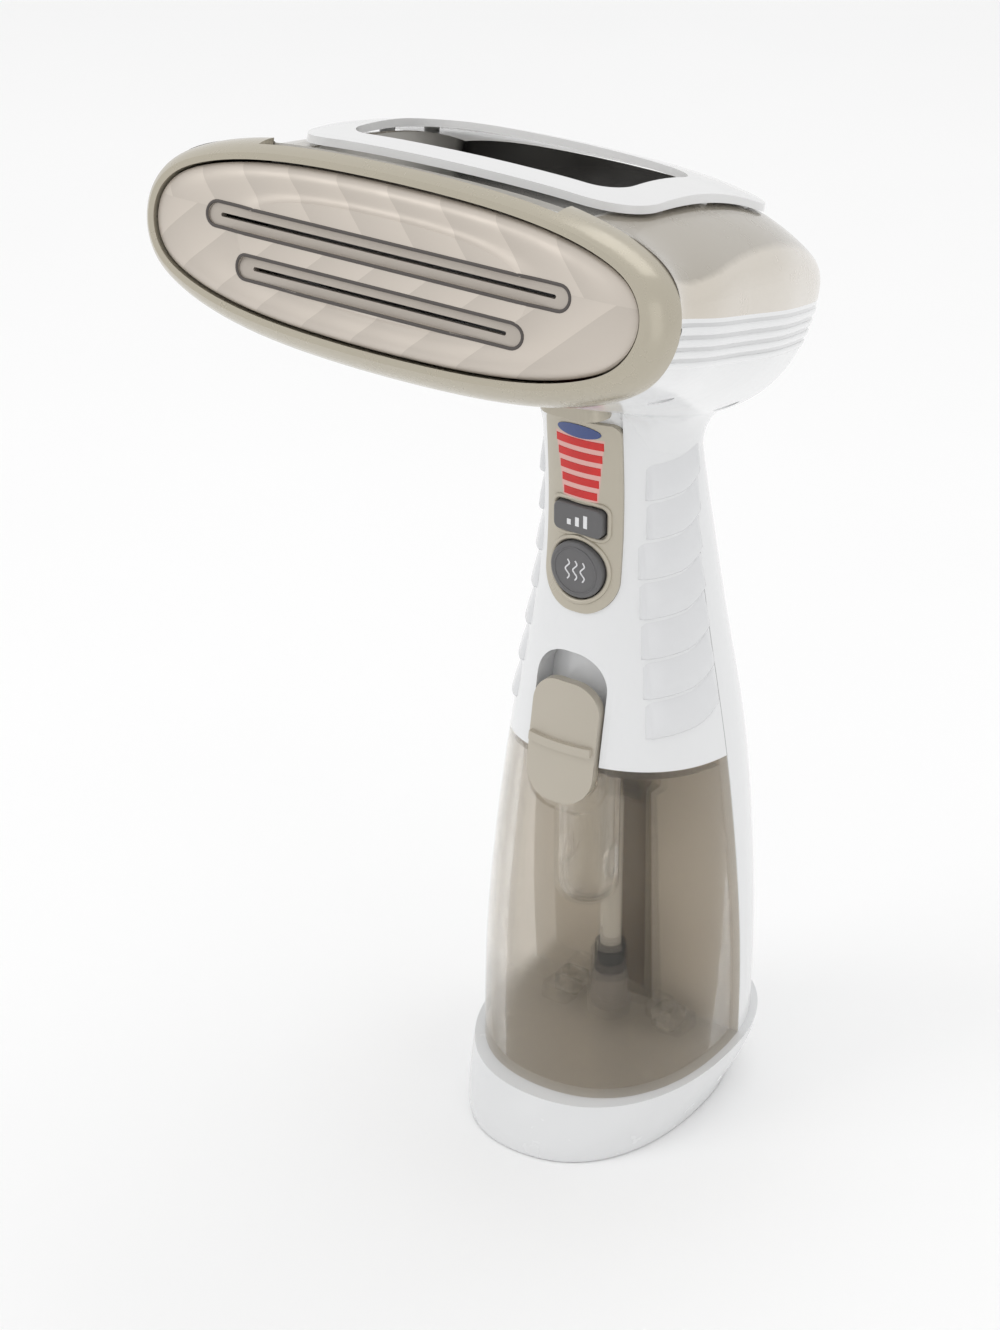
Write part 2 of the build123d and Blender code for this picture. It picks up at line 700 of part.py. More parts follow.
with BuildPart() as heat_shield:
    # thin plate that keeps the boiler's heat from the handle and the shells
    extrude(oval(at_depth(SHIELD_DEPTH), 55, 12.5, 17, PLATE_POWER, PLATE_POWER), amount=0.8)
    with BuildSketch(at_depth(SHIELD_DEPTH + 1)):
        with Locations(INLET):
            Circle(HOSE_RADIUS + 1)
    extrude(amount=3, mode=Mode.SUBTRACT)

with BuildPart() as head_screws:
    # four screws that join the two halves of the head, in wells in the bowl
    add(screw_group(SPLIT, HEAD_SCREWS, SCREW_WELL + SNUG, SCREW_BITE))

# ---------------------------------------------------------------- handle
with BuildPart() as handle_front_shell:
    # white front half of the handle, with the panel's seat and the latch's bed
    add(BODY_OUTSIDE)
    add(BODY_INSIDE, mode=Mode.SUBTRACT)
    add(LATCH_BED)
    split(bisect_by=SEAM, keep=Keep.TOP)
    add(handle_bosses(Keep.BOTTOM))
    split(bisect_by=PARTING, keep=Keep.BOTTOM)
    add(BED_RECESS, mode=Mode.SUBTRACT)
    add(PANEL_SEAT, mode=Mode.SUBTRACT)
    add(PANEL_WINDOW, mode=Mode.SUBTRACT)
    add(HEAD_OUTSIDE, mode=Mode.SUBTRACT)

with BuildPart() as rear_housing:
    # white rear half: the back of the handle and the spine behind the tank
    add(BODY_OUTSIDE)
    add(rear_room.part, mode=Mode.SUBTRACT)
    add(handle_room.part, mode=Mode.SUBTRACT)
    add(handle_bosses(Keep.TOP))
    with BuildSketch(DECK):
        with Locations(*FOOT_SCREWS):
            Circle(BOSS_RADIUS)
    extrude(amount=12)
    split(bisect_by=DECK, keep=Keep.TOP)
    split(bisect_by=PARTING, keep=Keep.TOP)
    add(HEAD_OUTSIDE, mode=Mode.SUBTRACT)
    with BuildSketch(DECK):
        with Locations(*FOOT_SCREWS):
            Circle(SCREW_RADIUS)
    extrude(amount=SCREW_BITE, mode=Mode.SUBTRACT)
    with BuildSketch(SCREW_FACE.offset(-HANDLE_WELL)):
        with Locations(*HANDLE_SCREWS):
            Circle(SCREW_HEAD_RADIUS + GAP)
    extrude(amount=-40, mode=Mode.SUBTRACT)
    with BuildSketch(Plane.XZ.offset(-60)):
        with Locations((0, GLAND_Z)):
            Circle(GLAND_RADIUS + SNUG)
    extrude(amount=40, mode=Mode.SUBTRACT)
    with BuildSketch(Plane.XZ):
        with Locations((0, OUTLET_Z)):
            Circle(SOCKET_RADIUS + SNUG)
    extrude(amount=-20, mode=Mode.SUBTRACT)

with BuildPart() as handle_floor:
    # plate that closes the handle above the tank
    add(BODY_INSIDE)
    split(bisect_by=SEAM, keep=Keep.TOP)
    split(bisect_by=SEAM.offset(WALL), keep=Keep.BOTTOM)
    split(bisect_by=PARTING, keep=Keep.BOTTOM)
    add(LATCH_BED, mode=Mode.SUBTRACT)

with BuildPart() as handle_screws:
    # four screws driven from the rear
    add(screw_group(SCREW_FACE, HANDLE_SCREWS, HANDLE_WELL + SNUG, SCREW_BITE))

with BuildPart() as control_panel:
    # curved trim plate round the controls
    add(PANEL_SKIN)
    with BuildSketch(CONTROL_PLANE):
        with Locations((0, STEAM_BUTTON_Z)):
            Circle(STEAM_BUTTON_RADIUS + BUTTON_CLEARANCE)
        with Locations((0, SETTING_BUTTON_Z)):
            width, height = SETTING_BUTTON_SIZE
            gap = 2 * BUTTON_CLEARANCE
            RectangleRounded(width + gap, height + gap, 2.4)
        for place, width in LED_ROWS:
            with Locations((0, place)):
                Rectangle(width + 2 * SNUG, LED_HEIGHT + 2 * SNUG)
        with Locations((0, LENS_Z)):
            Ellipse(LENS_SIZE[0] / 2 + SNUG, LENS_SIZE[1] / 2 + SNUG)
    extrude(amount=60, mode=Mode.SUBTRACT)

with BuildPart() as ready_lens:
    # clear oval window over the ready light
    with BuildSketch(CONTROL_PLANE):
        with Locations((0, LENS_Z)):
            Ellipse(LENS_SIZE[0] / 2, LENS_SIZE[1] / 2)
    extrude(amount=60)
    add(body_solid(0.8), mode=Mode.INTERSECT)
    add(body_solid(SNUG - 1.0), mode=Mode.SUBTRACT)

with BuildPart() as led_bars:
    # light bars that widen upwards, one for each steam level
    for place, width in LED_ROWS:
        with BuildSketch(CONTROL_PLANE):
            with Locations((0, place)):
                Rectangle(width, LED_HEIGHT)
        extrude(amount=60)
    add(body_solid(0.7), mode=Mode.INTERSECT)
    add(body_solid(-2.6), mode=Mode.SUBTRACT)

with BuildPart() as setting_button:
    # rounded key with a stem behind it, towards its switch
    with BuildSketch(Plane.XZ.offset(-SETTING_BUTTON_FACE)):
        with Locations((0, SETTING_BUTTON_Z)):
            RectangleRounded(*SETTING_BUTTON_SIZE, 2.0)
    extrude(amount=SETTING_BUTTON_FACE - BUTTON_REAR)
    fillet(setting_button.faces().sort_by(Axis.Y)[0].edges(), 0.6)
    add(button_foot(SETTING_BUTTON_Z, SETTING_BUTTON_SIZE[0] / 2))

with BuildPart() as steam_button:
    # round key with a stem behind it, towards its switch
    with BuildSketch(Plane.XZ.offset(-STEAM_BUTTON_FACE)):
        with Locations((0, STEAM_BUTTON_Z)):
            Circle(STEAM_BUTTON_RADIUS)
    extrude(amount=STEAM_BUTTON_FACE - BUTTON_REAR)
    fillet(steam_button.faces().sort_by(Axis.Y)[0].edges(), 0.9)
    add(button_foot(STEAM_BUTTON_Z, STEAM_BUTTON_RADIUS))

with BuildPart() as circuit_board:
    with BuildSketch(Plane.XZ.offset(-BOARD_Y)):
        with Locations((0, (BOARD_LOW + BOARD_HIGH) / 2)):
            Rectangle(BOARD_WIDTH, BOARD_HIGH - BOARD_LOW)
    extrude(amount=-BOARD_THICK)

with BuildPart() as tact_switches:
    # one under each key
    for place in (STEAM_BUTTON_Z, SETTING_BUTTON_Z):
        with BuildSketch(Plane.XZ.offset(-BOARD_Y)):
            with Locations((0, place)):
                Rectangle(6, 6)
        extrude(amount=SWITCH_BODY)
        with BuildSketch(Plane.XZ.offset(-BOARD_Y + SWITCH_BODY)):
            with Locations((0, place)):
                Circle(1.7)
        extrude(amount=SWITCH_STEM)

with BuildPart() as status_leds:
    # one behind each light bar and one behind the lens
    for place in [row for row, width in LED_ROWS] + [LENS_Z]:
        with BuildSketch(Plane.XZ.offset(-BOARD_Y)):
            with Locations((0, place)):
                Rectangle(3.2, 1.6)
        extrude(amount=1.2)

# ---------------------------------------------------------------- pump in the handle
with BuildPart() as pump_body:
    # stainless barrel with a nipple at each end
    with BuildSketch(Plane.XY.offset(PUMP_BOTTOM)):
        with Locations((0, PUMP_Y)):
            Circle(PUMP_RADIUS)
    extrude(amount=PUMP_TOP - PUMP_BOTTOM)
    for level, length in ((PUMP_BOTTOM, -4), (PUMP_TOP, 4)):
        with BuildSketch(Plane.XY.offset(level)):
            with Locations((0, PUMP_Y)):
                Circle(HOSE_BORE - SNUG)
        extrude(amount=length)
    with BuildSketch(Plane.XY.offset(PUMP_BOTTOM + 3)):
        with Locations((0, PUMP_Y)):
            Circle(PUMP_BORE)
    extrude(amount=PUMP_TOP - PUMP_BOTTOM - 6, mode=Mode.SUBTRACT)
    with BuildSketch(Plane.XY.offset(PUMP_BOTTOM - 6)):
        with Locations((0, PUMP_Y)):
            Circle(0.9)
    extrude(amount=PUMP_TOP - PUMP_BOTTOM + 12, mode=Mode.SUBTRACT)

with BuildPart() as pump_plunger:
    with BuildSketch(Plane.XY.offset(PLUNGER_BOTTOM)):
        with Locations((0, PUMP_Y)):
            Circle(PUMP_BORE - PLUNGER_CLEARANCE)
            Circle(1.0, mode=Mode.SUBTRACT)
    extrude(amount=PLUNGER_TOP - PLUNGER_BOTTOM)

with BuildPart() as plunger_spring:
    add(coil_spring(0, PUMP_Y, PLUNGER_TOP + 0.1, PUMP_TOP - 3.2, 2.7, 6))

with BuildPart() as pump_coil:
    with BuildSketch(Plane.XY.offset(COIL_BOTTOM)):
        with Locations((0, PUMP_Y)):
            Circle(COIL_RADIUS)
            Circle(PUMP_RADIUS + SNUG, mode=Mode.SUBTRACT)
    extrude(amount=COIL_TOP - COIL_BOTTOM)

with BuildPart() as pump_bracket:
    # folded steel yoke that closes the coil's magnetic path
    for level in (COIL_BOTTOM - YOKE - SNUG, COIL_TOP + SNUG):
        with BuildSketch(Plane.XY.offset(level)):
            with Locations((0, PUMP_Y)):
                Rectangle(2 * (COIL_RADIUS + SNUG + YOKE), 14)
                Circle(PUMP_RADIUS + SNUG, mode=Mode.SUBTRACT)
        extrude(amount=YOKE)
    for side in (-1, 1):
        with BuildSketch(Plane.XY.offset(COIL_BOTTOM - YOKE - SNUG)):
            with Locations((side * (COIL_RADIUS + SNUG + YOKE / 2), PUMP_Y)):
                Rectangle(YOKE, 14)
        extrude(amount=COIL_TOP - COIL_BOTTOM + 2 * YOKE + 2 * SNUG)

with BuildPart() as suction_hose:
    add(hose(SUCTION_ROUTE, 4.5))

with BuildPart() as pressure_hose:
    add(hose(PRESSURE_ROUTE, 12))

with BuildPart() as outlet_socket:
    # rubber-lined socket that the tank's nozzle plugs into
    with BuildSketch(Plane.XZ.offset(-SOCKET_FRONT)):
        with Locations((0, OUTLET_Z)):
            Circle(SOCKET_RADIUS)
    extrude(amount=-SOCKET_LENGTH)
    with BuildSketch(Plane.XZ.offset(-SOCKET_FRONT - SOCKET_LENGTH)):
        with Locations((0, OUTLET_Z)):
            Circle(HOSE_BORE - SNUG)
    extrude(amount=-4)
    with BuildSketch(Plane.XZ.offset(-SOCKET_FRONT)):
        with Locations((0, OUTLET_Z)):
            Circle(NOZZLE_RADIUS + GAP)
    extrude(amount=-SOCKET_BORE_LENGTH, mode=Mode.SUBTRACT)
    with BuildSketch(Plane.XZ.offset(-SOCKET_FRONT)):
        with Locations((0, OUTLET_Z)):
            Circle(0.9)
    extrude(amount=-SOCKET_LENGTH - 5, mode=Mode.SUBTRACT)

# ---------------------------------------------------------------- tank
FILL_PLACE = (0, (CUP_Y - SEAM_Y) / cos(radians(SEAM_TILT)))
TANK_OUTSIDE = tank_region(0, GAP, -GAP, -GAP)
TANK_ROOM = tank_region(-TANK_WALL, GAP + TANK_WALL, 5, -GAP - TANK_WALL)
LATCH_WALL = front_skin(0, -3.2, front_prism(LATCH_WIDTH + 4, 103, 130, 0, 9))
LATCH_POCKET = front_skin(
    6, -LATCH_BACK - 0.4, front_prism(LATCH_WIDTH + 1, LATCH_BOTTOM - 0.5, 140, 0, 9.3)
)
LATCH_CARRIER = front_skin(
    -CARRIER_FRONT, -CARRIER_BACK, front_prism(CARRIER_WIDTH, 108, CARRIER_TOP, 5)
)
LUG_SLOT = front_skin(0, -5.9, front_prism(LUG_WIDTH + 0.8, LUG_Z - 0.3, 134.4))

with BuildPart() as water_tank:
    # smoke-tinted clear tank, thicker where the latch sits, open at the top for its lid
    add(TANK_OUTSIDE)
    add(TANK_ROOM, mode=Mode.SUBTRACT)
    add(LATCH_WALL)
    split(bisect_by=SEAM.offset(-GAP), keep=Keep.BOTTOM)
    add(LATCH_POCKET, mode=Mode.SUBTRACT)
    with BuildSketch(Plane.XZ):
        with Locations((0, OUTLET_Z)):
            Circle(NOZZLE_RADIUS + SNUG)
    extrude(amount=-12, mode=Mode.SUBTRACT)

with BuildPart() as tank_lid:
    # welded lid with the outlet block below, the nozzle behind and the latch's carrier above
    add(TANK_ROOM)
    split(bisect_by=SEAM.offset(-GAP), keep=Keep.BOTTOM)
    split(bisect_by=SEAM.offset(-GAP - LID_THICK), keep=Keep.TOP)
    with BuildSketch(Plane.XY.offset(OUTLET_Z - 5)):
        with Locations((0, -0.1)):
            Rectangle(22, 11)
    extrude(amount=13)
    split(bisect_by=SEAM.offset(-GAP), keep=Keep.BOTTOM)
    with BuildSketch(Plane.XZ):
        with Locations((0, OUTLET_Z)):
            Circle(NOZZLE_RADIUS)
    extrude(amount=-NOZZLE_END)
    add(LATCH_CARRIER)
    add(water_tank.part, mode=Mode.SUBTRACT)
    add(LUG_SLOT, mode=Mode.SUBTRACT)
    with BuildSketch(SEAM):
        with Locations(FILL_PLACE):
            Circle(FILL_RADIUS)
    extrude(amount=-6, mode=Mode.SUBTRACT)
    with BuildSketch(SEAM):
        with Locations(FILL_PLACE):
            Circle(FILL_RADIUS + 1.6)
    extrude(amount=-GAP - 1.3, mode=Mode.SUBTRACT)
    with BuildSketch(Plane.XY.offset(OUTLET_Z - 6)):
        with Locations((0, TUBE_Y)):
            Circle(TUBE_RADIUS + SNUG)
    extrude(amount=4, mode=Mode.SUBTRACT)
    with BuildSketch(Plane.XY.offset(OUTLET_Z - 6)):
        with Locations((0, TUBE_Y)):
            Circle(1.5)
    extrude(amount=7, mode=Mode.SUBTRACT)
    with BuildSketch(Plane.XZ.offset(-TUBE_Y)):
        with Locations((0, OUTLET_Z)):
            Circle(1.5)
    extrude(amount=-30, mode=Mode.SUBTRACT)
    with BuildSketch(Plane.XZ.offset(-SEAL_Y)):
        with Locations((0, OUTLET_Z)):
            Circle(NOZZLE_RADIUS + 1)
            Circle(SEAL_INNER, mode=Mode.SUBTRACT)
    extrude(amount=-SEAL_WIDTH, mode=Mode.SUBTRACT)

with BuildPart() as nozzle_seal:
    # ring in the nozzle's groove
    with BuildSketch(Plane.XZ.offset(-SEAL_Y - SNUG)):
        with Locations((0, OUTLET_Z)):
            Circle(NOZZLE_RADIUS + 0.2)
            Circle(SEAL_INNER + SNUG, mode=Mode.SUBTRACT)
    extrude(amount=-SEAL_WIDTH + 2 * SNUG)

with BuildPart() as fill_plug:
    # rubber plug, flush with the lid
    with BuildSketch(SEAM.offset(-GAP)):
        with Locations(FILL_PLACE):
            Circle(FILL_RADIUS + 1.5)
    extrude(amount=-1.3)
    with BuildSketch(SEAM.offset(-GAP)):
        with Locations(FILL_PLACE):
            Circle(FILL_RADIUS - SNUG)
    extrude(amount=-4.2)

def cup_form(shrink):
    """A round-bottomed cylinder in the filter cup's place, pulled in all over."""
    with BuildPart() as form:
        with BuildSketch(Plane.XY.offset(CUP_BOTTOM + shrink)):
            with Locations((0, CUP_Y)):
                Circle(CUP_RADIUS - shrink)
        extrude(amount=60)
        fillet(form.faces().sort_by(Axis.Z)[0].edges(), 6 - shrink)
    return form.part


with BuildPart() as filter_cup:
    # clear cup under the filling hole, with a window in each side for the water
    add(cup_form(0))
    add(cup_form(1.3), mode=Mode.SUBTRACT)
    with BuildSketch(Plane.YZ):
        with Locations((CUP_Y, CUP_BOTTOM + 14)):
            RectangleRounded(6, 10, 2.5)
    extrude(amount=20, both=True, mode=Mode.SUBTRACT)
    split(bisect_by=SEAM.offset(-GAP - LID_THICK - SNUG), keep=Keep.BOTTOM)

with BuildPart() as pickup_tube:
    with BuildSketch(Plane.XY.offset(TUBE_BOTTOM)):
        with Locations((0, TUBE_Y)):
            Circle(TUBE_RADIUS)
            Circle(TUBE_BORE, mode=Mode.SUBTRACT)
    extrude(amount=OUTLET_Z - 2 - SNUG - TUBE_BOTTOM)

with BuildPart() as tube_sleeve:
    # dark collar that joins the tube to its weighted inlet
    with BuildSketch(Plane.XY.offset(TUBE_BOTTOM + 6)):
        with Locations((0, TUBE_Y)):
            Circle(TUBE_RADIUS + 1.5)
            Circle(TUBE_RADIUS + SNUG, mode=Mode.SUBTRACT)
    extrude(amount=9)

with BuildPart() as pickup_weight:
    # sintered inlet weight at the foot of the tube
    with BuildSketch(Plane.XY.offset(TUBE_BOTTOM - 7)):
        with Locations((0, TUBE_Y)):
            Circle(5.4)
    extrude(amount=12.8)
    fillet(pickup_weight.edges().group_by(Axis.Z)[0], 2)
    fillet(pickup_weight.edges().group_by(Axis.Z)[-1], 2)
    with BuildSketch(Plane.XY.offset(TUBE_BOTTOM - SNUG)):
        with Locations((0, TUBE_Y)):
            Circle(TUBE_RADIUS + SNUG)
    extrude(amount=20, mode=Mode.SUBTRACT)

with BuildPart() as tank_clips:
    # two small square clips on the tank's floor
    for across, back in CLIP_PLACES:
        with BuildSketch(Plane.XY.offset(18)):
            with Locations((across, back)):
                RectangleRounded(8, 8, 1.2)
                Rectangle(4.4, 4.4, mode=Mode.SUBTRACT)
        extrude(amount=8)
    split(bisect_by=DECK.offset(GAP + TANK_WALL), keep=Keep.TOP)

with BuildPart() as tank_latch:
    # curved thumb tab with a ridge, and a lug behind it under the spring
    add(front_skin(LATCH_PROUD, -LATCH_BACK,
                   front_prism(LATCH_WIDTH, LATCH_BOTTOM, LATCH_TOP, 8.5, 8.8)))
    add(front_skin(LATCH_PROUD + 1.4, -0.5,
                   front_prism(LATCH_WIDTH - 1.6, LATCH_RIDGE_Z - 1.2, LATCH_RIDGE_Z + 1.2)))
    add(front_skin(0, -4.9, front_prism(LUG_WIDTH, LUG_Z, LUG_Z + LUG_HEIGHT)))

with BuildPart() as latch_spring:
    add(coil_spring(0, SPRING_Y, LUG_Z + LUG_HEIGHT + 0.1, 134.2, 1.15, 7))

# ---------------------------------------------------------------- foot
# height, half width, front Y, rear Y, Y of the widest line
FOOT = (
    (0.3, FOOT_HALF_WIDTH, FOOT_FRONT, FOOT_REAR, FOOT_CENTRE),
    (6.0, 34.2, -50.2, 40.6, -4.0),
    (14.0, 37.2, -45.0, 42.6, 1.0),
    (24.0, 38.6, -40.5, 43.6, 4.0),
)
FOOT_BASE_INNER = (
    FOOT_HALF_WIDTH - FOOT_WALL - 0.2,
    FOOT_REAR - FOOT_CENTRE - FOOT_WALL - 0.2,
    FOOT_CENTRE - FOOT_FRONT - FOOT_WALL - 0.2,
)


def foot_sections(grow):
    """The foot's outline at each height, grown or pulled in."""
    faces = []
    for height, half_x, front, rear, centre in FOOT:
        sizes = (half_x + grow, rear - centre + grow, centre - front + grow)
        faces.append(oval(Plane.XY.offset(height), *sizes, BODY_POWER, BODY_POWER, centre))
    return faces


with BuildPart() as foot_room:
    loft(foot_sections(-FOOT_WALL))
    split(bisect_by=DECK.offset(-FOOT_WALL), keep=Keep.BOTTOM)
FOOT_ROOM = foot_room.part

with BuildPart() as base_foot:
    # flared foot, hollow from below, with the sloping deck under the tank
    loft(foot_sections(0))
    split(bisect_by=DECK, keep=Keep.BOTTOM)
    add(FOOT_ROOM, mode=Mode.SUBTRACT)
    with BuildSketch(DECK):
        with Locations(*FOOT_SCREWS):
            Circle(SCREW_RADIUS + SNUG)
    extrude(amount=-6, mode=Mode.SUBTRACT)

with BuildPart() as foot_plate:
    # flat plate that closes the foot
    with BuildSketch(Plane.XY.offset(PAD_THICK)):
        add(oval(Plane.XY, *FOOT_BASE_INNER, BODY_POWER, BODY_POWER, FOOT_CENTRE))
    extrude(amount=1.8)

with BuildPart() as foot_pad:
    # rubber sole that the steamer stands on
    with BuildSketch(Plane.XY):
        add(oval(Plane.XY, *FOOT_BASE_INNER, BODY_POWER, BODY_POWER, FOOT_CENTRE))
    extrude(amount=PAD_THICK - SNUG)

with BuildPart() as foot_screws:
    # two screws from below the deck into the rear housing
    add(screw_group(DECK, FOOT_SCREWS, FOOT_WALL + SNUG, SCREW_BITE))

with BuildPart() as cord_inlet:
    # grommet where the mains lead enters the back of the housing
    with BuildSketch(Plane.XZ.offset(-BODY_REAR)):
        with Locations((0, GLAND_Z)):
            Circle(GLAND_RADIUS + 1.6)
    extrude(amount=-1.8)
    with BuildSketch(Plane.XZ.offset(-BODY_REAR)):
        with Locations((0, GLAND_Z)):
            Circle(GLAND_RADIUS)
    extrude(amount=7)
    with BuildSketch(Plane.XZ.offset(-BODY_REAR - 5)):
        with Locations((0, GLAND_Z)):
            Circle(GLAND_BORE)
    extrude(amount=20, mode=Mode.SUBTRACT)

with BuildPart() as terminal_block:
    # screw terminals for the mains wires, inside the spine
    with BuildSketch(Plane.XY.offset(50)):
        with Locations((0, 26)):
            Rectangle(18, 9)
    extrude(amount=12)
    with BuildSketch(Plane.XY.offset(50)):
        with Locations((-5.5, 26), (0, 26), (5.5, 26)):
            Circle(1.6)
    extrude(amount=12, mode=Mode.SUBTRACT)

# ---------------------------------------------------------------- write the pieces
TOOLS = ("cover_air", "rear_room", "handle_room", "foot_room")
PIECES = {
    name: value.part
    for name, value in list(globals().items())
    if isinstance(value, BuildPart) and name not in TOOLS
}
for name, piece in PIECES.items():
    piece.label = name
    export_step(piece, f"parts/{name}.step")
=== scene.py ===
import math

import bmesh
import bpy
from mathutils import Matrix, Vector
from mathutils.bvhtree import BVHTree


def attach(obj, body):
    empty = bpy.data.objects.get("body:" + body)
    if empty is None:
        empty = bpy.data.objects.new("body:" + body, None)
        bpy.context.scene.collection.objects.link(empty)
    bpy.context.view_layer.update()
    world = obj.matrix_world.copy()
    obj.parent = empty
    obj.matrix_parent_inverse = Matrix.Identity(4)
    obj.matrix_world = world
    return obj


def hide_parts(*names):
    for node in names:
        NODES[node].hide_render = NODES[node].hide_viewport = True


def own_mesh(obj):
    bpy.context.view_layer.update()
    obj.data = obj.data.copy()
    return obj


# Looks for the hand-held garment steamer. Metres, +Z up, the steam plate faces -Y.

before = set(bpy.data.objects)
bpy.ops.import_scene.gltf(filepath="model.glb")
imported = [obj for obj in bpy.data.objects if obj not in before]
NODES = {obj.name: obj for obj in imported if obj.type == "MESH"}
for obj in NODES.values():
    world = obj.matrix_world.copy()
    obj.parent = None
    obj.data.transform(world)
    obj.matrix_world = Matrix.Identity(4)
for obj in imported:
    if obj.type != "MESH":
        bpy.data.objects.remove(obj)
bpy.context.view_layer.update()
MM = 0.001

# ---------------------------------------------------------------- the head's own frame
HEAD_TILT = math.radians(15)
FACE = Vector((0, -0.108, 0.286))
HEAD_BACK = Vector((0, math.cos(HEAD_TILT), -math.sin(HEAD_TILT)))
HEAD_UP = Vector((0, math.sin(HEAD_TILT), math.cos(HEAD_TILT)))
# the colour split round the head drops faster than the head's axis, and so do the ridges below it
SPLIT_TILT = math.radians(17.9)
SPLIT_UP = Vector((0, math.sin(SPLIT_TILT), math.cos(SPLIT_TILT)))
SPLIT_BACK = Vector((0, math.cos(SPLIT_TILT), -math.sin(SPLIT_TILT)))


def head(across, depth, height):
    """A point in the head's frame, millimetres in, metres out."""
    return FACE + Vector((across * MM, 0, 0)) + HEAD_BACK * (depth * MM) + HEAD_UP * (height * MM)


# ---------------------------------------------------------------- places, millimetres unless noted
SPLIT_START = head(0, 11, 2.8)  # metres, on the colour split just behind the plate's frame
RIDGE_COUNT = 4
RIDGE_PITCH = 2.9
# steam slots: half length and height above the head's axis
STEAM_SLOTS = ((52.2, 2.6), (41.3, -8.3))
SLOT_END = 2.7  # the pressed band's straight run stops this far short of the slot's end
SLOT_BAND = 3.0  # the radius of its round ends
PARTING_NORMAL = (0, 0.99884, 0.04817)
PARTING_POINT = (0, 0.012, 0.016)  # metres
# half width of the dark strip of painted reflection on the wall behind the tank
REFLECTION_STRIP_HALF = 6.0
TANK_TOP = 117.0
STEAM_KEY_Z = 174.0
SETTING_KEY_Z = 188.6
STEAM_KEY_FACE = -23.55
LEVEL_SIGN_FRONT = -22.98
LEVEL_SIGN_BACK = -22.6
# the painted pink glow round the light bars widens upwards from its lower edge
BARS_LOW = 194.0
BARS_TALL = 18.6
BARS_HALF = 5.7
BARS_FLARE = 0.117
RAY_START = 0.09  # metres, outside the handle
BOWL_RAY_START = 0.12  # metres, outside the bowl


# ---------------------------------------------------------------- materials
class Nodes:
    """Short calls for one material's node tree."""

    def __init__(self, name):
        self.material = bpy.data.materials.new(name)
        self.material.use_nodes = True
        self.tree = self.material.node_tree
        self.shader = self.tree.nodes["Principled BSDF"]
        self.place = self.add("ShaderNodeTexCoord").outputs["Object"]

    def add(self, kind, inputs=None, **settings):
        node = self.tree.nodes.new(kind)
        for key, value in settings.items():
            setattr(node, key, value)
        for key, value in (inputs or {}).items():
            self.put(node.inputs[key], value)
        return node

    def put(self, socket, value):
        if isinstance(value, bpy.types.NodeSocket):
            self.tree.links.new(value, socket)
        else:
            socket.default_value = value

    def set(self, **sockets):
        """Puts values or links on the shader; an underscore stands for the space in a socket's name."""
        for key, value in sockets.items():
            self.put(self.shader.inputs[key.replace("_", " ")], value)

    def math(self, operation, *values):
        node = self.add("ShaderNodeMath", operation=operation)
        for socket, value in zip(node.inputs, values):
            self.put(socket, value)
        return node.outputs[0]

    def along(self, direction, origin=(0, 0, 0)):
        """Distance in millimetres along a direction from a point."""
        offset = self.add("ShaderNodeVectorMath", {0: self.place, 1: origin}, operation="SUBTRACT")
        dot = self.add("ShaderNodeVectorMath", {0: offset.outputs[0], 1: direction},
                       operation="DOT_PRODUCT")
        return self.math("MULTIPLY", dot.outputs["Value"], 1 / MM)

    def facing(self, direction):
        """How squarely the surface faces a direction, up to 1."""
        normal = self.add("ShaderNodeNewGeometry").outputs["Normal"]
        dot = self.add("ShaderNodeVectorMath", {0: normal, 1: direction}, operation="DOT_PRODUCT")
        return dot.outputs["Value"]

    def noise(self, scale, detail=3.0, roughness=0.55):
        node = self.add("ShaderNodeTexNoise", {"Vector": self.place, "Scale": scale,
                                               "Detail": detail, "Roughness": roughness})
        return node.outputs["Fac"]

    def ramp(self, value, low, high, start=0.0, end=1.0):
        node = self.add("ShaderNodeMapRange", {"Value": value, "From Min": start, "From Max": end,
                                               "To Min": low, "To Max": high})
        return node.outputs["Result"]

    def blend(self, factor, first, second):
        node = self.add("ShaderNodeMix", {"Factor": factor}, data_type="RGBA")
        self.put(node.inputs[6], first)
        self.put(node.inputs[7], second)
        return node.outputs[2]

    def bump(self, height, distance, strength=1.0, under=None):
        node = self.add("ShaderNodeBump", {"Height": height, "Distance": distance,
                                           "Strength": strength})
        if under is not None:
            self.put(node.inputs["Normal"], under)
        return node.outputs["Normal"]


def tone(colour, amount):
    return tuple(min(1.0, part * amount) for part in colour) + (1.0,)


def finish_material(n, base, rough, spread=0.06, grain=900.0, relief=0.00001, under=None, **sockets):
    """A base colour with uneven gloss and a fine moulded grain over it."""
    smudge = n.noise(75.0, 5.0, 0.6)
    gloss = n.ramp(smudge, max(rough - spread, 0.01), rough + spread, 0.3, 0.7)
    n.set(Base_Color=base, Roughness=gloss, Normal=n.bump(n.noise(grain, 2.0), relief, 0.35, under))
    n.set(**sockets)
    return n.material


def plastic(name, colour, rough, variation=0.04, **more):
    """Plain material whose colour drifts a little; the metals and rubbers use it too."""
    n = Nodes(name)
    drift = n.noise(28.0, 4.0)
    base = n.blend(drift, tone(colour, 1 - variation), tone(colour, 1 + variation))
    return finish_material(n, base, rough, **more)


WHITE = (0.77, 0.775, 0.78)
CHAMPAGNE = (0.45, 0.41, 0.325)
TRIM = (0.47, 0.43, 0.35)
PLATE = (0.60, 0.545, 0.485)
WHITE_ROUGH = 0.2
WHITE_GLOSS = {"spread": 0.02, "Coat_Weight": 0.35, "Coat_Roughness": 0.08}

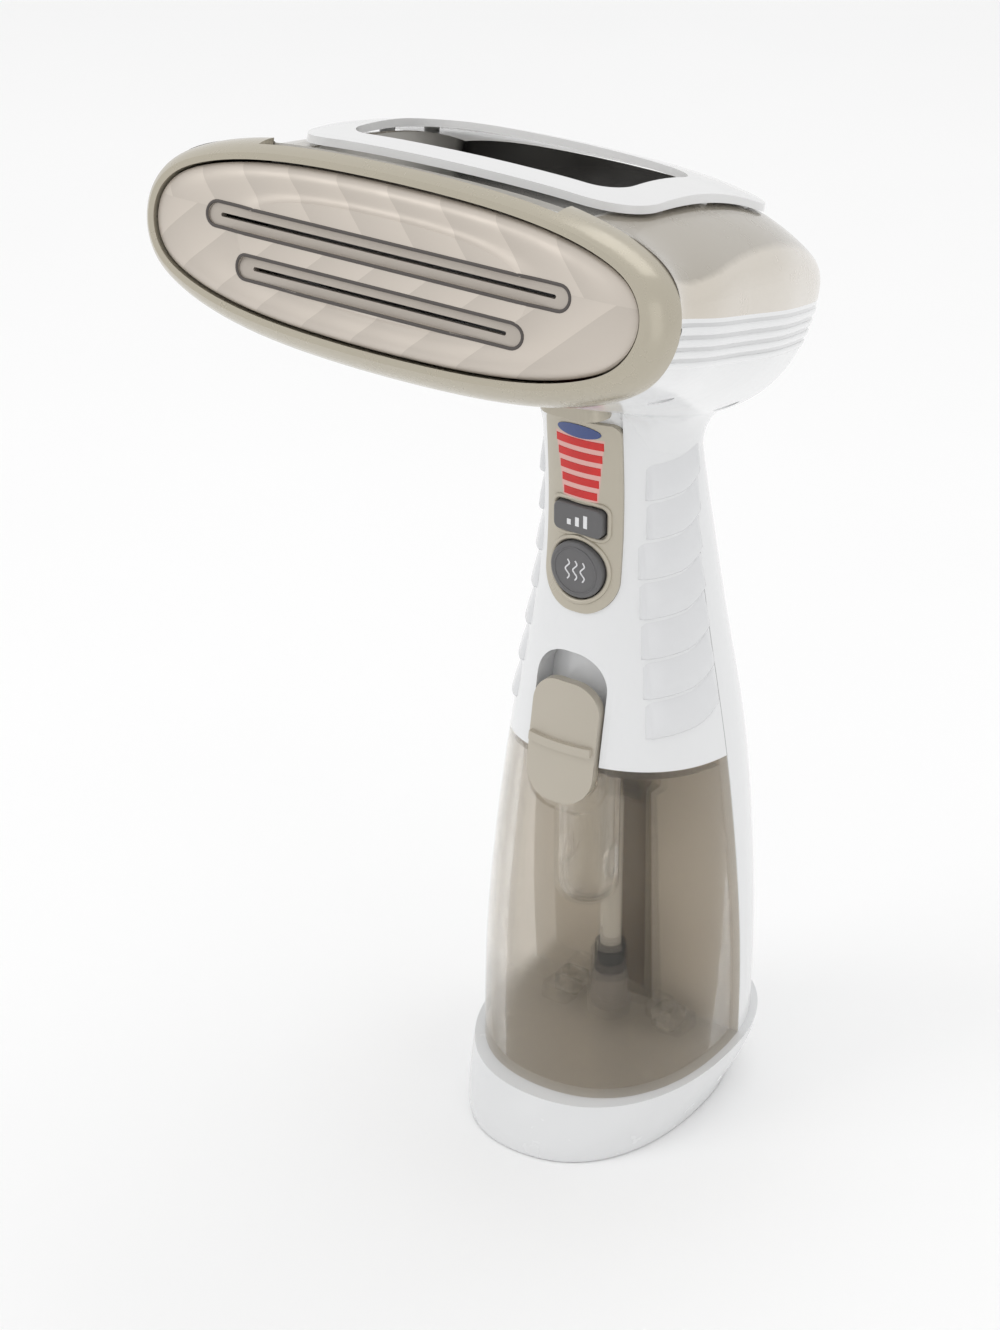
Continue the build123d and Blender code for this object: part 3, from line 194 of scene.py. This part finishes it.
white = plastic("white_gloss", WHITE, WHITE_ROUGH, **WHITE_GLOSS)
foot_white = plastic("foot_white", (0.74, 0.745, 0.75), 0.26, spread=0.02, variation=0.015,
                     Coat_Weight=0.3, Coat_Roughness=0.1)
cover_white = plastic("cover_white", (0.76, 0.76, 0.76), 0.16, spread=0.03, Coat_Weight=0.5,
                      Coat_Roughness=0.05)
bezel = plastic("bezel_champagne", CHAMPAGNE, 0.27, Metallic=0.35, Coat_Weight=0.5,
                Coat_Roughness=0.12)
trim = plastic("trim_champagne", TRIM, 0.33, Metallic=0.4, Coat_Weight=0.25, Coat_Roughness=0.2)
key_grey = plastic("key_grey", (0.12, 0.118, 0.12), 0.42, relief=0.00004)
icon_paint = plastic("icon_paint", (0.75, 0.75, 0.76), 0.5)
black = plastic("black_matte", (0.02, 0.02, 0.021), 0.5)
rubber = plastic("rubber_dark", (0.03, 0.03, 0.03), 0.75, relief=0.00005)
silicone = plastic("silicone", (0.55, 0.53, 0.49), 0.45, Transmission_Weight=0.4)
steel = plastic("steel", (0.55, 0.55, 0.54), 0.3, Metallic=1.0)
cast = plastic("cast_metal", (0.5, 0.5, 0.5), 0.5, Metallic=1.0, relief=0.0001)
copper = plastic("copper_winding", (0.38, 0.14, 0.06), 0.4, Metallic=0.7)
board_green = plastic("board_green", (0.02, 0.13, 0.05), 0.4)
sinter = plastic("sinter_grey", (0.23, 0.21, 0.19), 0.8, relief=0.00012)


def bowl_material():
    """White bowl, with painted shade in the gaps between its ridges."""
    n = Nodes("bowl_white")
    drop = n.math("MULTIPLY", n.along(SPLIT_UP, SPLIT_START), -1.0)
    phase = n.math("FRACT", n.math("DIVIDE", drop, RIDGE_PITCH))
    # painted shade: the gaps between the ridges are darkened
    gap = n.math("COMPARE", phase, 0.5, 0.16)
    inside = n.math("MULTIPLY", n.math("GREATER_THAN", drop, 0.6), n.math("LESS_THAN", drop, 12.2))
    base = n.blend(n.math("MULTIPLY", gap, inside), tone(WHITE, 1.0), tone(WHITE, 0.74))
    return finish_material(n, base, WHITE_ROUGH, **WHITE_GLOSS)


def painted_light_behind_tank(n, base):
    """Painted light on the wall behind the tank, seen through the tank: the wall is painted brighter
    where the tank shades it, with a dark strip of painted reflection down its middle.
    """
    across = n.math("LESS_THAN", n.math("ABSOLUTE", n.along((1, 0, 0))), REFLECTION_STRIP_HALF)
    low = n.math("LESS_THAN", n.along((0, 0, 1)), TANK_TOP)
    ahead = n.math("MULTIPLY", low, n.math("GREATER_THAN", n.facing((0, -1, 0)), 0.9))
    # painted light: the wall is brightened where the tank shades it, and the dark strip down its middle
    # is a painted reflection
    painted_bright_wall = n.blend(ahead, base, (0.93, 0.92, 0.90, 1))
    return n.blend(n.math("MULTIPLY", across, ahead), painted_bright_wall, (0.22, 0.19, 0.15, 1))


def handle_material():
    """White moulding with a fine groove along the parting of its two halves, darkened as a painted
    shadow line, and painted light on the wall behind the tank.
    """
    n = Nodes("handle_white")
    off = n.math("ABSOLUTE", n.along(PARTING_NORMAL, PARTING_POINT))
    # painted shade: the white is darkened inside the parting groove
    line = n.math("LESS_THAN", off, 0.16)
    groove = n.bump(n.math("MULTIPLY", line, -1.0), 0.0004, 1.0)
    base = painted_light_behind_tank(n, n.blend(line, tone(WHITE, 1.0), tone(WHITE, 0.5)))
    return finish_material(n, base, WHITE_ROUGH, under=groove, **WHITE_GLOSS)


def tray_material():
    """Light grey where the tray rises to the plate's frame; glossy, and dark farther back with painted
    shade deep in the recess.
    """
    n = Nodes("tray")
    depth = n.along(HEAD_BACK, FACE)
    # painted shade: the tray turns near black deep in the recess under the cover
    far_shade = n.ramp(depth, 0.0, 1.0, 86.0, 90.0)
    base = n.blend(far_shade, (0.58, 0.565, 0.535, 1), (0.016, 0.015, 0.014, 1))
    return finish_material(n, base, 0.14, spread=0.04, Coat_Weight=0.6, Coat_Roughness=0.04)


def shell_material():
    """Pearl champagne, darker on top and lighter down the sides as a painted reflection, with painted
    shade in the seam behind the plate's frame.
    """
    n = Nodes("shell_champagne")
    # painted reflection: surfaces facing up are darker, the sides lighter
    top = n.ramp(n.facing(HEAD_UP), 0.0, 1.0, 0.60, 0.70)
    base = n.blend(top, (0.62, 0.565, 0.485, 1), (0.40, 0.365, 0.305, 1))
    # painted shade in the gap of the seam between the plate's frame and the shell
    seam_shade = n.ramp(n.along(HEAD_BACK, FACE), 1.0, 0.0, 11.2, 11.7)
    base = n.blend(seam_shade, base, (0.12, 0.105, 0.09, 1))
    return finish_material(n, base, 0.24, Metallic=0.3, Coat_Weight=0.6, Coat_Roughness=0.08)


def panel_material():
    """Champagne trim with a painted pink glow round the light bars, their light painted onto the trim.
    """
    n = Nodes("panel_champagne")
    across = n.math("ABSOLUTE", n.along((1, 0, 0)))
    height = n.along((0, 0, 1), (0, 0, BARS_LOW * MM))
    half = n.math("ADD", BARS_HALF, n.math("MULTIPLY", height, BARS_FLARE))
    edge = n.math("SUBTRACT", half, across)
    side = n.ramp(edge, 0.0, 1.0, 0.0, 0.5)
    low = n.ramp(height, 0.0, 1.0, 0.0, 0.5)
    high = n.ramp(height, 1.0, 0.0, BARS_TALL, BARS_TALL + 0.5)
    # painted glow: the LEDs' light on the trim, as pink colour and a faint emission
    lit = n.math("MULTIPLY", side, n.math("MULTIPLY", low, high))
    base = n.blend(lit, tone(TRIM, 1.0), (0.62, 0.36, 0.33, 1))
    n.set(Emission_Color=n.blend(lit, (0, 0, 0, 1), (0.80, 0.34, 0.30, 1)), Emission_Strength=0.1)
    return finish_material(n, base, 0.33, Metallic=0.25, Coat_Weight=0.25, Coat_Roughness=0.2)


def plate_material():
    """Satin metal with faceted quilting: slanted facets above, leaning the other way below, each facet
    bumped and shaded across with painted shade, and painted shade in the pressed band round each steam
    slot.
    """
    n = Nodes("plate_metal")
    across = n.along((1, 0, 0))
    height = n.along(HEAD_UP, FACE)
    pitch = 15.0
    facets = []
    for lean in (0.95, -1.1):
        skew = n.math("ADD", across, n.math("MULTIPLY", height, lean))
        facets.append(n.math("FRACT", n.math("DIVIDE", skew, pitch)))
    upper = n.math("GREATER_THAN", height, 4.0)
    both = n.math("ADD", n.math("MULTIPLY", facets[0], upper),
                  n.math("MULTIPLY", facets[1], n.math("SUBTRACT", 1.0, upper)))
    relief = n.bump(both, 0.0006, 0.35)
    # painted shade: the colour darkens across each facet as its tilt would shade it
    base = n.blend(both, tone(PLATE, 0.91), tone(PLATE, 1.05))
    for half, centre in STEAM_SLOTS:
        past = n.math("SUBTRACT", n.math("ABSOLUTE", across), half - SLOT_END)
        past = n.math("MAXIMUM", past, 0.0)
        off = n.math("SUBTRACT", height, centre)
        reach = n.math("SQRT", n.math("ADD", n.math("MULTIPLY", past, past),
                                      n.math("MULTIPLY", off, off)))
        # painted shade in the recessed band round each steam slot
        base = n.blend(n.math("LESS_THAN", reach, SLOT_BAND), base, tone(PLATE, 0.78))
    return finish_material(n, base, 0.5, spread=0.05, under=relief, grain=2600.0, Metallic=0.6)


def glass(name, tint, rough, ior, alpha):
    """Tinted see-through plastic with a clear coat."""
    n = Nodes(name)
    n.set(Base_Color=n.blend(n.noise(18.0), tone(tint, 0.985), tone(tint, 1.015)),
          Roughness=n.ramp(n.noise(60.0), rough * 0.5, rough * 1.6, 0.3, 0.7),
          Transmission_Weight=1.0, IOR=ior, Alpha=alpha, Coat_Weight=0.8)
    return n.material


def glow(name, colour, strength):
    """A lit diffuser, brighter in patches."""
    n = Nodes(name)
    patch = n.blend(n.noise(160.0), tone(colour, 0.6), tone(colour, 1.0))
    n.set(Base_Color=patch, Emission_Color=patch, Emission_Strength=strength, Roughness=0.25)
    return n.material


smoked = glass("smoked_tank", (0.66, 0.60, 0.51), 0.012, ior=1.12, alpha=0.5)
lid_smoked = glass("smoked_lid", (0.74, 0.68, 0.59), 0.03, ior=1.15, alpha=0.6)
clear = glass("clear_part", (0.95, 0.945, 0.93), 0.02, ior=1.35, alpha=0.8)
tube_clear = plastic("tube_clear", (0.78, 0.75, 0.69), 0.2, Transmission_Weight=0.4)
clip_pale = plastic("clip_pale", (0.75, 0.72, 0.66), 0.15, Transmission_Weight=0.75)
red_glow = glow("led_red", (0.56, 0.014, 0.012), 0.28)
chip_glow = glow("led_chip", (1.0, 0.7, 0.5), 0.6)
lens_blue = plastic("lens_blue", (0.014, 0.045, 0.20), 0.12, variation=0.25, Coat_Weight=0.8,
                    Coat_Roughness=0.03)
# near black for a bead that stands for the shadowed rim of each steam slot: painted shadow
slot_rim_shadow = plastic("slot_rim_shadow", (0.07, 0.06, 0.055), 0.5)
# mid grey of painted shade for the slab that stands for the slot's shaded inside
slot_shade_grey = plastic("slot_shade_grey", (0.34, 0.33, 0.31), 0.3)
bowl_white = bowl_material()
handle_white = handle_material()
tray = tray_material()
panel = panel_material()
shell = shell_material()
# painted shade: a slightly darker copy of the handle's white for the ribs
rib_shaded_white = plastic("rib_shaded_white", (0.72, 0.725, 0.735), 0.24, spread=0.02, Coat_Weight=0.3,
                    Coat_Roughness=0.1)
latch_satin = plastic("latch_satin", (0.47, 0.43, 0.36), 0.36, Metallic=0.3, Coat_Weight=0.2,
                      Coat_Roughness=0.2)
plate_metal = plate_material()

FINISH = {
    "steam_plate": plate_metal, "plate_bezel": bezel, "head_upper_shell": shell,
    "head_lower_shell": bowl_white, "top_recess_liner": tray, "top_cover": cover_white,
    "attachment_catch": trim, "boiler_block": cast, "plate_gasket": silicone,
    "boiler_cover": cast, "heating_element": steel, "boiler_screws": steel, "thermostat": steel,
    "thermal_fuse": steel, "heat_shield": steel, "head_screws": steel,
    "handle_front_shell": handle_white, "rear_housing": handle_white, "handle_floor": white,
    "handle_screws": steel, "control_panel": panel, "ready_lens": lens_blue, "led_bars": red_glow,
    "setting_button": key_grey, "steam_button": key_grey, "circuit_board": board_green,
    "tact_switches": black, "status_leds": chip_glow, "pump_body": steel, "pump_plunger": steel,
    "plunger_spring": steel, "pump_coil": copper, "pump_bracket": steel,
    "suction_hose": silicone, "pressure_hose": silicone, "outlet_socket": rubber,
    "water_tank": smoked, "tank_lid": lid_smoked, "nozzle_seal": rubber, "fill_plug": rubber,
    "filter_cup": clear, "pickup_tube": tube_clear, "tube_sleeve": rubber, "pickup_weight": sinter,
    "tank_clips": clip_pale, "tank_latch": latch_satin, "latch_spring": steel,
    "base_foot": foot_white, "foot_plate": black, "foot_pad": rubber, "foot_screws": steel,
    "cord_inlet": black, "terminal_block": black,
}
for node, material in FINISH.items():
    slots = NODES[node].data.materials
    slots.clear()
    slots.append(material)


# ---------------------------------------------------------------- new pieces
def surface_of(*nodes):
    """A ray target made of CAD nodes."""
    verts, faces = [], []
    for node in nodes:
        mesh = NODES[node].data
        start = len(verts)
        verts.extend(v.co.copy() for v in mesh.vertices)
        faces.extend([start + i for i in f.vertices] for f in mesh.polygons)
    return BVHTree.FromPolygons(verts, faces)


def add_piece(name, data, body):
    """A new object that moves with a body."""
    piece = bpy.data.objects.new(name, data)
    bpy.context.scene.collection.objects.link(piece)
    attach(piece, body)
    return piece


def mesh_piece(name, verts, faces, material, body, smooth=True):
    mesh = bpy.data.meshes.new(name)
    mesh.from_pydata(verts, [], faces)
    mesh.validate()
    mesh.materials.append(material)
    for face in mesh.polygons:
        face.use_smooth = smooth
    add_piece(name, mesh, body)


def grid_faces(rows, columns, closed=False):
    """Quads between rows of points; a closed grid joins each row's end to its start."""
    faces = []
    for row in range(rows - 1):
        for column in range(columns if closed else columns - 1):
            after = (column + 1) % columns
            faces.append((row * columns + column, row * columns + after,
                          (row + 1) * columns + after, (row + 1) * columns + column))
    return faces


def loop_faces(rows, columns):
    """Quads of a tube that closes on itself both ways."""
    faces = grid_faces(rows, columns, closed=True)
    last = (rows - 1) * columns
    for column in range(columns):
        after = (column + 1) % columns
        faces.append((last + column, last + after, after, column))
    return faces


HANDLE = surface_of("handle_front_shell", "rear_housing")
RIB_LOW = 127.6
RIB_PITCH = 11.3
RIB_COUNT = 7


def handle_point(turn, height, proud):
    """A point above the handle's skin: turn in degrees from the front, heights in millimetres."""
    angle = math.radians(turn)
    outward = Vector((math.sin(angle), -math.cos(angle), 0))
    centre = Vector((0, 0.002, height * MM))
    hit, _, _, _ = HANDLE.ray_cast(centre + outward * RAY_START, -outward)
    return hit + outward * (proud * MM)


def grip_ribs():
    """Shallow shingled ribs on both sides of the grip, each proud along its lower edge."""
    # how proud the rib is, in millimetres, at each share of its height
    profile = ((0.0, 0.0), (0.95, 0.02), (1.25, 0.09), (1.0, 0.4), (0.5, 0.72), (0.0, 1.0))
    columns = 34
    back = 97  # degrees from the front, where every rib ends
    for side, label in ((-1, "left"), (1, "right")):
        for rib in range(RIB_COUNT):
            low = RIB_LOW + RIB_PITCH * rib
            # higher ribs start nearer the front, but the top two start farther round
            start = 44 - 1.0 * rib + (6 if rib > 4 else 0)
            verts = []
            for proud, rise in profile:
                for column in range(columns):
                    along = column / (columns - 1)
                    turn = side * (start + (back - start) * along)
                    fade = math.sin(min(1.0, along / 0.07, (1 - along) / 0.05) * math.pi / 2)
                    sweep = max(0.0, along - 0.55) / 0.45
                    height = low + 3.4 * sweep**1.6 + rise * RIB_PITCH * (0.8 + 0.1 * fade)
                    verts.append(handle_point(turn, height, proud * fade + 0.01))
            faces = grid_faces(len(profile), columns)
            if side < 0:
                faces = [tuple(reversed(face)) for face in faces]
            mesh_piece(f"grip_rib_{label}_{rib + 1}", verts, faces, rib_shaded_white, "housing")


def front_ring(name, outline, material, body, y_at, radius):
    """A rounded bead that follows an outline in X and Z, at the Y that y_at gives."""
    verts = []
    around = 10
    count = len(outline)
    for index, (x, z) in enumerate(outline):
        before = outline[index - 1]
        after = outline[(index + 1) % count]
        along = Vector((after[0] - before[0], after[1] - before[1])).normalized()
        out = Vector((along.y, -along.x))
        y = y_at(x, z)
        for step in range(around):
            angle = 2 * math.pi * step / around
            push = radius * math.cos(angle)
            verts.append(Vector((x + out.x * push, y - radius * math.sin(angle),
                                 z + out.y * push)) * MM)
    mesh_piece(name, verts, loop_faces(count, around), material, body)


def circle_outline(radius, centre_z, count):
    angles = [2 * math.pi * k / count for k in range(count)]
    return [(radius * math.cos(angle), centre_z + radius * math.sin(angle)) for angle in angles]


def rounded_outline(half_x, half_z, radius, centre_z):
    """A rectangle with round corners."""
    steps = 8
    points = []
    for corner in range(4):
        sign_x = 1 if corner in (0, 3) else -1
        sign_z = 1 if corner in (0, 1) else -1
        for step in range(steps + 1):
            angle = math.pi / 2 * (corner + step / steps)
            points.append((sign_x * (half_x - radius) + radius * math.cos(angle),
                           centre_z + sign_z * (half_z - radius) + radius * math.sin(angle)))
    return points


PANEL = surface_of("control_panel", "handle_front_shell")


def panel_y(x, z):
    """Y of the panel's front at a place, or of its usual front where the ray goes into a hole."""
    deepest = -0.012  # metres; a hit farther back is inside a hole
    usual = -21.5
    hit, _, _, _ = PANEL.ray_cast(Vector((x * MM, -RAY_START, z * MM)), Vector((0, 1, 0)))
    return hit.y / MM if hit is not None and hit.y < deepest else usual


def key_rims():
    """Raised rims round both keys and a fine ring on the round one."""
    front_ring("steam_key_rim", circle_outline(9.15, STEAM_KEY_Z, 56), trim, "housing", panel_y,
               0.75)
    front_ring("setting_key_rim", rounded_outline(8.7, 5.1, 2.6, SETTING_KEY_Z), trim, "housing",
               panel_y, 0.7)
    front_ring("steam_key_ring", circle_outline(6.6, STEAM_KEY_Z, 48), key_grey, "steam_key",
               lambda x, z: STEAM_KEY_FACE, 0.28)


def wavy_icon():
    """Three rising waves, a plain sign for steam, on the round key."""
    sway, rise, low = 0.9, 0.95, STEAM_KEY_Z - 2.8
    front = STEAM_KEY_FACE - 0.07
    for index, across in enumerate((-2.4, 0.0, 2.4)):
        curve = bpy.data.curves.new(f"steam_icon_{index + 1}", "CURVE")
        curve.dimensions = "3D"
        curve.bevel_depth = 0.00022
        curve.bevel_resolution = 3
        line = curve.splines.new("NURBS")
        places = [(across + sway * math.sin(step * math.pi / 2), low + rise * step)
                  for step in range(7)]
        line.points.add(len(places) - 1)
        for point, (x, z) in zip(line.points, places):
            point.co = (x * MM, front * MM, z * MM, 1)
        line.order_u = 3
        line.use_endpoint_u = True
        curve.materials.append(icon_paint)
        add_piece(f"steam_icon_{index + 1}", curve, "steam_key")


def level_icon():
    """Three bars of rising height, a plain sign for a level, on the rounded key."""
    half = 0.6
    bottom = SETTING_KEY_Z - 1.8
    verts, faces = [], []
    for across, tall in ((-2.6, 1.6), (0.0, 2.6), (2.6, 3.6)):
        start = len(verts)
        for y in (LEVEL_SIGN_FRONT, LEVEL_SIGN_BACK):
            for x, z in ((-half, 0), (half, 0), (half, tall), (-half, tall)):
                verts.append(Vector((across + x, y, bottom + z)) * MM)
        faces.append((start, start + 1, start + 2, start + 3))
        for k in range(4):
            after = (k + 1) % 4
            faces.append((start + k, start + 4 + k, start + 4 + after, start + after))
    mesh_piece("level_icon", verts, faces, icon_paint, "setting_key", smooth=False)


PLATE_SKIN = surface_of("steam_plate")


def slot_rims():
    """A dark bead of painted shadow round each steam slot's rim, sunk half into the plate."""
    around = 8  # points round the bead
    round_end = 12  # steps round an end
    straight = 20  # steps over half of a straight run
    wide, proud = 0.42, 0.22
    for index, (half, height) in enumerate(STEAM_SLOTS):
        path = []
        for side in (1, -1):
            end = side * (half - SLOT_END)
            for step in range(round_end + 1):
                angle = side * math.pi / 2 - math.pi * step / round_end
                path.append((end + SLOT_BAND * math.cos(angle),
                             height + SLOT_BAND * math.sin(angle)))
            for step in range(1, 2 * straight):
                path.append((end * (1 - step / straight), height - side * SLOT_BAND))
        verts = []
        for k, (u, w) in enumerate(path):
            before, after = path[k - 1], path[(k + 1) % len(path)]
            run = Vector((after[0] - before[0], after[1] - before[1])).normalized()
            hit, _, _, _ = PLATE_SKIN.ray_cast(head(u, -20, w), HEAD_BACK)
            for step in range(around):
                angle = 2 * math.pi * step / around
                reach = wide * math.cos(angle)
                verts.append(hit + Vector((run.y * reach * MM, 0, 0))
                             - HEAD_UP * (run.x * reach * MM)
                             - HEAD_BACK * (proud * math.sin(angle) * MM))
        mesh_piece(f"slot_rim_{index + 1}", verts, loop_faces(len(path), around), slot_rim_shadow,
                   "housing")


BOWL = surface_of("head_lower_shell")


def bowl_ridges():
    """Low ridges round the bowl below the colour split, from one side of the frame to the other."""
    # offset down the bowl and height above it
    profile = ((-0.95, 0.02), (-0.7, 0.36), (0.0, 0.45), (0.7, 0.36), (0.95, 0.02))
    columns = 150
    reach = 129.5  # degrees to each side, from straight back
    middle_depth = 64
    for ridge in range(RIDGE_COUNT):
        verts = []
        for offset, proud in profile:
            drop = RIDGE_PITCH * (ridge + 1) + offset
            middle = SPLIT_START - SPLIT_UP * (drop * MM) + SPLIT_BACK * (middle_depth * MM)
            for column in range(columns):
                angle = math.radians(-reach + 2 * reach * column / (columns - 1))
                outward = Vector((math.sin(angle), 0, 0)) + SPLIT_BACK * math.cos(angle)
                hit, _, _, _ = BOWL.ray_cast(middle + outward * BOWL_RAY_START, -outward)
                verts.append(hit + outward * (proud * MM))
        mesh_piece(f"bowl_ridge_{ridge + 1}", verts, grid_faces(len(profile), columns),
                   bowl_white, "housing")


def live_spring(node, body):
    """A copy of a CAD spring with a mesh of its own that moves with a body, the CAD spring hidden."""
    spring = add_piece(f"{node}_live", NODES[node].data.copy(), body)
    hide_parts(node)
    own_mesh(spring)


def neck_fillet():
    """Concave sweep where the bowl flows into the neck, shallower in front of the panel."""
    columns, rows = 96, 12
    neck_z = 206
    deep, shallow = 11.0, 1.2
    overhead = Vector((0, 0, 1))
    verts = []
    for row in range(rows):
        along = row / (rows - 1)
        for column in range(columns):
            turn = 360 * column / columns
            angle = math.radians(turn)
            outward = Vector((math.sin(angle), -math.cos(angle), 0))
            front = max(0.0, min(1.0, (math.cos(angle) - 0.70) / 0.2))
            reach = deep * (1 - front) + shallow * front
            foot = handle_point(turn, neck_z, 0.0) + outward * (0.05 * MM)
            outer, _, _, _ = BOWL.ray_cast(foot + outward * (reach * MM), overhead)
            corner, _, _, _ = BOWL.ray_cast(foot + outward * (0.4 * MM), overhead)
            if outer is None or corner is None:
                outer = corner = foot
            low = handle_point(turn, corner.z / MM - reach * 1.05, -0.05)
            verts.append(low * (1 - along) ** 2 + corner * 2 * along * (1 - along)
                         + outer * along**2)
    faces = [tuple(reversed(face)) for face in grid_faces(rows, columns, closed=True)]
    mesh_piece("neck_fillet", verts, faces, white, "housing")


def slide_detail():
    """The small light tab and, beside it, a grey slab of painted shade standing for the slot, in the
    gap in front of the cover.
    """
    front, deep, top, fall, thick = 11.0, 6.0, 19.6, 5.2, 1.2
    # name, its two ends across the head, how far it is raised, material
    for name, left, right, raised, material in (("slide_tab", -5, 4, 0.0, cover_white),
                                                ("slide_slot", 6, 33, -0.5, slot_shade_grey)):
        mesh = bmesh.new()
        bmesh.ops.create_cube(mesh, size=1.0)
        for vert in mesh.verts:
            along, up = vert.co.y + 0.5, vert.co.z + 0.5
            vert.co = head(left + (right - left) * (vert.co.x + 0.5),
                           front + deep * along, top - fall * along + raised + thick * up)
        bmesh.ops.bevel(mesh, geom=mesh.edges[:], offset=0.0005, segments=3, affect="EDGES")
        data = bpy.data.meshes.new(name)
        mesh.to_mesh(data)
        mesh.free()
        data.materials.append(material)
        add_piece(name, data, "housing")


grip_ribs()
key_rims()
wavy_icon()
level_icon()
slot_rims()
bowl_ridges()
neck_fillet()
slide_detail()
live_spring("latch_spring", "tank")
live_spring("plunger_spring", "housing")


# ---------------------------------------------------------------- floor, light and camera
def floor():
    n = Nodes("floor_pale")
    n.set(Base_Color=n.blend(n.noise(3.0), (0.93, 0.93, 0.93, 1), (0.97, 0.97, 0.97, 1)),
          Roughness=0.6)
    mesh = bpy.data.meshes.new("floor")
    half = 6.0
    mesh.from_pydata([(-half, -half, 0), (half, -half, 0), (half, half, 0), (-half, half, 0)],
                     [], [(0, 1, 2, 3)])
    mesh.materials.append(n.material)
    sheet = bpy.data.objects.new("floor", mesh)
    bpy.context.scene.collection.objects.link(sheet)


def area_light(name, place, aim, size, power):
    data = bpy.data.lights.new(name, "AREA")
    data.shape = "RECTANGLE"
    data.size, data.size_y = size
    data.energy = power
    lamp = bpy.data.objects.new(name, data)
    lamp.location = place
    lamp.rotation_euler = (Vector(aim) - Vector(place)).to_track_quat("-Z", "Y").to_euler()
    bpy.context.scene.collection.objects.link(lamp)


def lights():
    """A white room with three soft lamps."""
    world = bpy.data.worlds.new("studio")
    world.use_nodes = True
    background = world.node_tree.nodes["Background"]
    background.inputs["Color"].default_value = (1, 1, 1, 1)
    background.inputs["Strength"].default_value = 0.88
    bpy.context.scene.world = world
    area_light("key", (-0.9, -1.1, 1.3), (0, 0, 0.18), (0.9, 0.9), 4.5)
    area_light("fill", (1.3, -0.5, 0.5), (0, 0, 0.16), (0.7, 1.2), 1.2)
    area_light("top", (0.1, 0.5, 1.5), (0, -0.02, 0.2), (1.0, 0.7), 2.5)


def camera():
    """In front, to the right and above, looking down at the object."""
    aim = Vector((-0.0276, -0.0192, 0.1354))
    towards_camera = Vector((0.5088, -0.7266, 0.4617)).normalized()
    distance = 0.881
    data = bpy.data.cameras.new("camera")
    data.lens = 85.5
    data.sensor_width = 36
    viewer = bpy.data.objects.new("camera", data)
    viewer.location = aim + towards_camera * distance
    viewer.rotation_euler = towards_camera.to_track_quat("Z", "Y").to_euler()
    scene = bpy.context.scene
    scene.collection.objects.link(viewer)
    scene.camera = viewer
    scene.view_settings.view_transform = "Standard"


floor()
lights()
camera()
